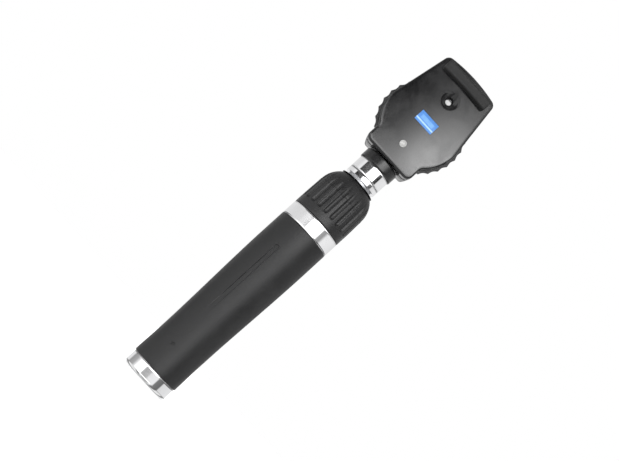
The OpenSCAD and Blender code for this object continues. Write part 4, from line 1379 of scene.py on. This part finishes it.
    def rear_window(self) -> None:
        """Glass towards the patient in its raised frame."""
        pane = Span.of("patient_window")
        obj = block("patient_window_pane", (pane.x0, pane.y0, pane.z0), (pane.x1, pane.y1, pane.z1),
                    0.1, 2)
        fit(obj, "head", "window_glass", "patient_window")
        span = Span.of("window_bezel")
        obj = block("window_frame", (span.x0, span.y0, span.z0), (span.x1, span.y1, span.z1))
        cutters = [block(name, (span.x0 + rim, back, span.z0 + rim), (span.x1 - rim, 20, span.z1 - rim))
                   for name, rim, back in (("pane_seat", 0.78, pane.y0), ("light_hole", 1.38, 0))]
        cut(obj, *cutters)
        fit(bevel(obj, 0.12, 2), "head", "optic_black", "window_bezel")

    def build(self) -> None:
        """Makes the covers and their fittings."""
        self.front_cover()
        self.rear_cover()
        self.screws()
        self.brow_rest()
        self.sight_bush()
        self.badge()
        self.index_window()
        self.rear_window()


@dataclass
class LensWheel:
    """Scalloped wheel of lenses with the numbered ring."""

    places: int = 29
    scallop: float = 0.8
    lens_r: float = 1.7
    ring_r: float = 19.6
    numbers_r: float = 12.2
    edge: float = 0.35
    span: Span = field(default_factory=lambda: Span.of("lens_wheel"))

    def lay(self, obj: bpy.types.Object) -> bpy.types.Object:
        """Turns a piece made about Z so that its first place is at the top of the wheel."""
        x, _, z = self.span.centre
        obj.data.transform(Matrix.Rotation(math.pi / 2, 4, "Z"))
        return turn_to_y(obj, x, z)

    def copies(self, name: str, part: bpy.types.Object, slot: str, radius: float,
               skip: int = 0) -> bpy.types.Object:
        """One copy of part at each lens place."""
        made = run_tree(name, ring_of_copies(), {"Count": self.places, "Radius": radius * MM, "Skip": skip,
                                                 "Part": part, "Material": finish(slot)})
        bpy.data.objects.remove(part)
        return made

    def wheel(self) -> None:
        """Wheel with finger scallops round its rim and a hole at each place."""
        outer, edge = self.span.x1, self.edge
        low, high = -self.span.y1, -self.span.y0
        bore = Span.of("wheel_axle").x1 + 0.05
        rim = [*arc((outer - edge, low + edge), edge, -90, 0, 5),
               *arc((outer - edge, high - edge), edge, 0, 90, 5)]
        radii = np.linspace(bore + 0.2, outer - 1.4, 8)
        profile = [(bore, low + 0.1), *((r, low) for r in radii), *rim, *((r, high) for r in radii[::-1]),
                   (bore, high - 0.1)]

        def scallops(turn: np.ndarray, radius: np.ndarray, height: np.ndarray) -> np.ndarray:
            """Hollows between the lens places, deepest halfway."""
            phase = (turn * self.places / (2 * math.pi)) % 1
            hollow = self.scallop * (1 - np.abs(2 * phase - 1) ** 1.7)
            return radius - hollow * np.clip((radius - outer + 1.2) / 0.8, 0, 1)

        obj = revolve("lens_wheel_scalloped", profile, self.places * 12, scallops)
        hole = rod("hole", self.lens_r + 0.1, low - 1, high + 1, 24)
        cut(obj, self.copies("lens_holes", hole, "wheel_black", self.ring_r))
        fit(self.lay(obj), "lens_wheel", "wheel_black", "lens_wheel")

    def lenses(self) -> None:
        """Small round lenses, the place at the sight hole left open."""
        low, high, radius = -self.span.y1, -self.span.y0, self.lens_r + 0.06
        front = high - 0.4
        face = [(radius, front - 0.2), (radius * 0.7, front - 0.06), (radius * 0.35, front - 0.01),
                (0, front)]
        lens = revolve("lens", [(0, front - 0.95), (radius, front - 0.75), *face], 24, crease=60)
        obj = self.copies("lens_discs", lens, "lens_glass", self.ring_r, skip=1)
        fit(self.lay(obj), "lens_wheel", "lens_glass", "lens_set")

    def numbered_ring(self) -> None:
        """Pale ring with a tick and a number at the lens places."""
        ring = Span.of("number_ring")
        front, back = -ring.y0 - 0.05, -ring.y1
        inner, outer = self.numbers_r, ring.x1
        plate = revolve("number_plate", rounded([(inner, back, 0), (outer, back, 0), (outer, front, 0.05),
                                                 (inner, front, 0.05)], 3), 128)
        fit(self.lay(plate), "lens_wheel", "dial_white", "number_ring")
        tick = block("tick", (-0.35, -0.08, front - 0.02), (0.35, 0.08, front + 0.03))
        ticks = self.copies("ticks", tick, "dial_white", outer - 0.6)
        marks = [self.lay(ticks)]
        for k in range(2, self.places, 2):
            marks.append(self.number(k, inner + 1.6, front))
        fit(merge("dial_figures", *marks), "lens_wheel", "dial_white", material=DIAL_INK.make())

    def number(self, place: int, radius: float, front: float) -> bpy.types.Object:
        """A dial number at one lens place, counted up on one side and down on the other."""
        value = min(place, self.places - place)
        curve = bpy.data.curves.new("figure", "FONT")
        curve.body, curve.size, curve.extrude = str(value), 1.7 * MM, 0.03 * MM
        curve.align_x = curve.align_y = "CENTER"
        text = bpy.data.objects.new("figure", curve)
        bpy.context.scene.collection.objects.link(text)
        bpy.context.view_layer.update()
        mesh = bpy.data.meshes.new_from_object(text.evaluated_get(bpy.context.evaluated_depsgraph_get()))
        bpy.data.objects.remove(text)
        turn = 2 * math.pi * place / self.places
        mesh.transform(Matrix.Rotation(math.pi + turn, 4, "Z") @ Matrix.Translation((0, radius * MM, 0)))
        mesh.transform(Matrix.Translation((0, 0, front * MM)))
        obj = bpy.data.objects.new("figure", mesh)
        bpy.context.scene.collection.objects.link(obj)
        x, _, z = self.span.centre
        return turn_to_y(obj, x, z)

    def build(self) -> None:
        """Makes the wheel and what is fixed to it."""
        self.wheel()
        self.lenses()
        self.numbered_ring()


@dataclass
class ApertureDial:
    """Ribbed dial that turns the apertures through the light path."""

    apertures: int = 6
    ribs: int = 30
    hole_r: float = 2.3
    bore_r: float = 1.05
    rib_r: float = 0.36
    span: Span = field(default_factory=lambda: Span.of("aperture_dial"))

    def build(self) -> None:
        """Makes the dial with a rib at each step and a hole for each aperture."""
        x, y, _ = self.span.centre
        low, high, outer = self.span.z0, self.span.z1, self.span.x1
        bore, root, rib_r = self.bore_r, outer - 0.35, self.rib_r
        profile = rounded([(bore, low + 0.3, 0), (root - 0.35, low + 0.3, 0), (root - 0.35, low, 0.1),
                           (root, low, 0.2), (root, high, 0.25), (bore, high, 0)], 4)
        body = revolve("dial_body", spread(profile, 1.2), 120)
        rib = revolve("rib", [(0, low + 0.15), (0.3, low + 0.25), (rib_r, low + 0.5), (rib_r, high - 0.5),
                              (0.3, high - 0.25), (0, high - 0.15)], 10, crease=60)
        ribs = run_tree("dial_ribs", ring_of_copies(), {
            "Count": self.ribs, "Radius": (outer - rib_r) * MM, "Skip": 0, "Part": rib,
            "Material": finish("wheel_black")})
        bpy.data.objects.remove(rib)
        holes = []
        for k in range(self.apertures):
            turn = 2 * math.pi * k / self.apertures
            hole = rod(f"aperture_{k}", self.hole_r, low - 1, high + 1, 40)
            holes.append(shift(hole, y * math.sin(turn), -y * math.cos(turn), 0))
        cut(body, *holes)
        obj = shift(merge("aperture_dial_ribbed", body, ribs), x, y, 0)
        fit(obj, "aperture_dial", "wheel_black", "aperture_dial")


def softened_copy(node: str, name: str, body: str, slot: str, width: float) -> None:
    """Copy of a small CAD part with its edges broken, which stands for it.

    Args:
        node: The CAD node.
        name: Name of the piece.
        body: CAD body that it moves with.
        slot: The record's slot of its finish.
        width: Width of the edge break, in millimetres.
    """
    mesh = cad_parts[node].data.copy()
    mesh.materials.clear()
    shading = {"sharp_edge", "sharp_face", "custom_normal"}
    for attribute in [a.name for a in mesh.attributes if a.name in shading]:
        mesh.attributes.remove(mesh.attributes[attribute])
    made = bmesh.new()
    made.from_mesh(mesh)
    bmesh.ops.remove_doubles(made, verts=made.verts, dist=1e-6)
    bmesh.ops.dissolve_limit(made, angle_limit=math.radians(1), verts=made.verts, edges=made.edges)
    made.to_mesh(mesh)
    made.free()
    obj = bpy.data.objects.new(name, mesh)
    bpy.context.scene.collection.objects.link(obj)
    bevel(obj, width, 2, angle=50)
    fit(obj, body, slot, node)


@dataclass
class Lamp:
    """Small lamp: glass envelope with a coiled filament on two posts."""

    span: Span = field(default_factory=lambda: Span.of("lamp_bulb"))
    glass: float = 0.35
    coil_half: float = 1.1
    coil_r: float = 0.35
    wire: float = 0.07
    post_r: float = 0.12

    def build(self) -> None:
        """Makes the hollow envelope and the filament inside it."""
        radius, low, high = self.span.x1, self.span.z0, self.span.z1
        ball = high - radius
        outside = arc((0, ball), radius, 0, 90, 12)
        inside = arc((0, ball), radius - self.glass, 90, 0, 12)
        profile = [(0, low), (radius, low), *outside, *inside, (radius - self.glass, low + self.glass),
                   (0, low + self.glass)]
        obj = revolve("lamp_envelope", profile, 48, crease=50)
        fit(obj, "head", "lamp_glass", "lamp_bulb")
        tungsten, half = FILAMENT.make(), self.coil_half
        coil = run_tree("filament_coil", wound_wire(), {
            "Turns": 7.0, "Foot Radius": self.coil_r * MM, "Top Radius": self.coil_r * MM,
            "Height": 2 * half * MM, "Wire": self.wire * MM, "Material": tungsten})
        coil.data.transform(Matrix.Rotation(math.pi / 2, 4, "Y"))
        shift(coil, -half, 0, ball)
        posts = [shift(rod(f"post_{s}", self.post_r, low, ball, 10), s * half, 0, 0) for s in (-1, 1)]
        fit(merge("lamp_filament", coil, *posts), "head", "contact_brass", material=tungsten)


def dress_frame() -> None:
    """Gives every CAD node that still shows its own finish, by its slot."""
    for name, node in sorted(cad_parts.items()):
        if node.hide_render:
            continue
        slot = node.material_slots[0].material.name.split(".")[0]
        for place in node.material_slots:
            place.material = finish(slot)
        LOG.info("%s keeps its CAD shape, finish %s", name, slot)


# ---------------------------------------------------------------- studio


class Ray(Enum):
    """Brightness of the surroundings for each kind of ray."""

    SEEN = 1.0
    LIT = 0.78


@dataclass(frozen=True)
class Band:
    """Surroundings at one height: (azimuth from -Y towards +X in degrees, brightness)."""

    elevation: float
    stops: tuple[tuple[float, float], ...]


SOFT_LOW = ((-180, 0.3), (-110, 0.2), (-64, 1.0), (-36, 2.1), (-10, 2.3), (22, 2.2), (38, 0.4), (60, 0.08),
            (110, 0.1), (180, 0.3))
SOFT_HIGH = ((-180, 0.3), (-110, 0.15), (-64, 0.9), (-38, 2.0), (-16, 5.4), (24, 6.0), (38, 0.6),
             (60, 0.08), (110, 0.1), (180, 0.3))
TABLE_MIRROR = ((-180, 1.0), (-152, 0.95), (-146, 0.22), (-122, 0.28), (-114, 0.9), (-60, 0.8), (-52, 0.2),
                (-38, 0.25), (-30, 0.9), (-18, 0.45), (18, 0.45), (30, 0.95), (40, 0.2), (66, 0.15),
                (74, 0.8), (114, 0.9), (122, 0.28), (146, 0.25), (152, 1.0), (180, 1.0))
CAP_MIRROR = ((-180, 0.85), (-128, 0.8), (-118, 0.33), (-90, 0.42), (-78, 0.8), (-68, 1.3), (-33, 1.4),
              (-28, 0.42), (-12, 0.45), (0, 0.52), (5, 0.8), (12, 0.86), (39, 0.9), (45, 0.2), (70, 0.15),
              (76, 0.75), (180, 0.85))
RING_MIRROR = ((-180, 0.8), (-128, 0.78), (-95, 0.74), (-55, 0.76), (-44, 0.84), (-34, 0.8), (-24, 0.55),
               (-18, 0.48), (-12, 2.4), (35, 2.6), (40, 1.4), (45, 0.38), (58, 0.34), (64, 0.62), (71, 0.9),
               (110, 0.85), (180, 0.72))
NECK_MIRROR = ((-180, 0.8), (-100, 0.74), (-74, 0.95), (-70, 0.85), (-65, 0.02), (-50, 0.045), (-28, 0.09),
               (-18, 0.12), (-14, 1.2), (-10, 3.2), (41, 3.2), (46, 0.05), (67, 0.01), (73, 0.8),
               (120, 0.85), (180, 0.8))
STUDIO_BANDS = (
    Band(-60, TABLE_MIRROR),
    Band(-11, TABLE_MIRROR),
    Band(-7, SOFT_LOW),
    Band(-4.6, CAP_MIRROR),
    Band(-1.6, CAP_MIRROR),
    Band(-0.6, SOFT_LOW),
    Band(2.5, SOFT_LOW),
    Band(5, SOFT_HIGH),
    Band(6, RING_MIRROR),
    Band(8.2, RING_MIRROR),
    Band(8.9, SOFT_HIGH),
    Band(9.4, NECK_MIRROR),
    Band(11.35, NECK_MIRROR),
    Band(11.8, ((-180, 0.6), (-60, 0.4), (-30, 0.2), (-12, 0.0), (-7, 0.1), (-4.6, 0.5), (-2.3, 1.4),
                (0, 2.5), (2.3, 4.2), (4.6, 6.2), (12, 6.6), (46, 2.4), (70, 0.4), (180, 0.6))),
    Band(13.4, ((-180, 0.6), (-60, 0.1), (-11, 0.0), (-7, 0.1), (-4.6, 0.7), (-2.3, 1.7), (0, 2.7),
                (2.3, 4.2), (4.6, 6.2), (7, 7.2), (12, 7.0), (46, 2.4), (70, 0.4), (180, 0.6))),
    Band(14.8, ((-180, 0.6), (-60, 0.1), (-11, 0.0), (-7, 0.15), (-4.6, 0.5), (0, 1.5), (4.6, 2.9),
                (9, 3.9), (14, 3.9), (46, 2.4), (70, 0.4), (180, 0.6))),
    Band(16.2, ((-180, 0.5), (-60, 0.1), (-9, 0.0), (-4.6, 0.1), (-2.3, 0.3), (0, 0.6), (4.6, 1.0),
                (9, 1.4), (46, 1.6), (70, 0.4), (180, 0.5))),
    Band(18.0, ((-180, 0.5), (-60, 0.1), (-6, 0.05), (0, 0.4), (6, 0.7), (46, 1.0), (70, 0.4), (180, 0.5))),
    Band(60, ((-180, 0.4), (-60, 0.3), (30, 0.6), (120, 0.4), (180, 0.4))),
)


@dataclass
class Studio:
    """Camera, pale floor, soft lights and the surroundings that the bright rings mirror."""

    distance: float = 652.7
    aim: tuple[float, float, float] = (0.65, 0.0, 115.1)
    tilt: float = 7.0
    roll: float = 47.7
    lens: float = 72.698
    sensor: float = 36.0
    floor_r: float = 1600.0
    floor_glow: float = 0.25

    def camera(self) -> None:
        """Camera low in front, turned on its side so that the handle runs up to the right."""
        aim = Vector(self.aim)
        tilt, roll = math.radians(self.tilt), math.radians(self.roll)
        ahead = Vector((0, math.cos(tilt), math.sin(tilt)))
        right = ahead.cross(Vector((0, 0, 1))).normalized()
        up = right.cross(ahead)
        right, up = (right * math.cos(roll) + up * math.sin(roll),
                     up * math.cos(roll) - right * math.sin(roll))
        place = (aim - ahead * self.distance) * MM
        camera = bpy.data.objects.new("camera", bpy.data.cameras.new("camera"))
        bpy.context.scene.collection.objects.link(camera)
        turn = Matrix((right, up, -ahead)).transposed()
        camera.matrix_world = Matrix.Translation(place) @ turn.to_4x4()
        camera.data.sensor_width = self.sensor
        camera.data.lens = self.lens
        camera.data.clip_start, camera.data.clip_end = 0.01, 20.0
        bpy.context.scene.camera = camera

    def floor(self) -> None:
        """Plain pale disc under the end cap."""
        turns = np.linspace(0, 2 * math.pi, 96, endpoint=False)
        rim = [(self.floor_r * math.cos(t), self.floor_r * math.sin(t), -0.02) for t in turns]
        mesh = bpy.data.meshes.new("floor")
        mesh.from_pydata([tuple(c * MM for c in p) for p in rim], [], [tuple(range(len(rim)))])
        floor = bpy.data.objects.new("floor", mesh)
        bpy.context.scene.collection.objects.link(floor)
        material, g, shader = start_material("floor")
        place = g.add("ShaderNodeTexCoord").outputs["Object"]
        cloud = g.add("ShaderNodeTexNoise", {"Vector": place, "Scale": 3.0})
        g.tree.links.new(g.blend(cloud.outputs[0], (0.93, 0.93, 0.93), (0.96, 0.96, 0.96)),
                         shader.inputs["Base Color"])
        shader.inputs["Roughness"].default_value = 0.9
        shader.inputs["Emission Color"].default_value = (1, 1, 1, 1)
        shader.inputs["Emission Strength"].default_value = self.floor_glow
        mesh.materials.append(material)
        floor.visible_glossy = False

    def lights(self) -> None:
        """Three large soft lights: left and right of the camera, and one behind."""
        aim = Vector(self.aim) * MM
        for name, place, size, power in (("key", (-0.7, -0.8, 0.6), 0.9, 9.0),
                                         ("fill", (0.9, -0.5, 0.45), 0.8, 1.5),
                                         ("back", (0.2, 0.9, 0.8), 0.9, 5.0)):
            data = bpy.data.lights.new(name, "AREA")
            data.shape, data.size, data.energy = "DISK", size, power
            light = bpy.data.objects.new(name, data)
            bpy.context.scene.collection.objects.link(light)
            light.location = place
            light.rotation_euler = (aim - Vector(place)).to_track_quat("-Z", "Y").to_euler()
            light.visible_glossy = False

    def surroundings(self) -> None:
        """White world, in which bright metal mirrors the soft boxes and dark cards of a studio."""
        world = bpy.data.worlds.new("studio")
        bpy.context.scene.world = world
        world.use_nodes = True
        g = Graph(world.node_tree)
        ray = g.add("ShaderNodeLightPath")
        way = g.add("ShaderNodeSeparateXYZ", {0: g.add("ShaderNodeTexCoord").outputs["Generated"]})
        back = g.math("MULTIPLY", way.outputs["Y"], -1.0)
        azimuth = g.remap(g.math("ARCTAN2", way.outputs["X"], back), -math.pi, math.pi)
        elevation = g.math("MULTIPLY", g.math("ARCSINE", way.outputs["Z"]), 180 / math.pi)
        shown: bpy.types.NodeSocket | None = None
        for before, band in zip((None, *STUDIO_BANDS), STUDIO_BANDS):
            level = self.ramp(g, azimuth, band)
            if before is None:
                shown = level
            else:
                share = g.remap(elevation, before.elevation, band.elevation)
                shown = self.mixed(g, share, shown, level)
        seen = g.math("MAXIMUM", ray.outputs["Is Camera Ray"], ray.outputs["Is Transmission Ray"])
        plain = self.mixed(g, seen, Ray.LIT.value, Ray.SEEN.value)
        level = self.mixed(g, ray.outputs["Is Glossy Ray"], plain, shown)
        g.tree.links.new(level, world.node_tree.nodes["Background"].inputs["Strength"])
        world.node_tree.nodes["Background"].inputs["Color"].default_value = (1, 1, 1, 1)

    @staticmethod
    def mixed(g: Graph, share: object, a: object, b: object) -> bpy.types.NodeSocket:
        """Number between a and b."""
        return g.add("ShaderNodeMix", {0: share, 2: a, 3: b}).outputs[0]

    @staticmethod
    def ramp(g: Graph, azimuth: bpy.types.NodeSocket, band: Band) -> bpy.types.NodeSocket:
        """Brightness of one band at the azimuth, which runs from 0 to 1."""
        peak = max(level for _, level in band.stops)
        node = g.add("ShaderNodeValToRGB", {0: azimuth})
        elements = node.color_ramp.elements
        for k, (angle, level) in enumerate(band.stops):
            stop = elements[k] if k < 2 else elements.new(1.0)
            stop.position = (angle + 180) / 360
            stop.color = (level / peak,) * 3 + (1,)
        return g.math("MULTIPLY", node.outputs[0], peak)

    def build(self) -> None:
        """Sets up the studio."""
        self.camera()
        self.floor()
        self.lights()
        self.surroundings()
        bpy.context.scene.view_settings.view_transform = "Standard"


def main() -> None:
    """Builds the studio and every piece."""
    logging.basicConfig(level=logging.INFO, format="%(name)s: %(message)s")
    Studio().build()
    for part in (Handle(), EndCap(), Neck(), HeadShell(), LensWheel(), ApertureDial(), Lamp()):
        part.build()
        LOG.info("%s done", type(part).__name__)
    softened_copy("filter_lever", "filter_lever_arm", "filter_lever", "wheel_black", 0.16)
    dress_frame()


if __name__ == "__main__":
    main()
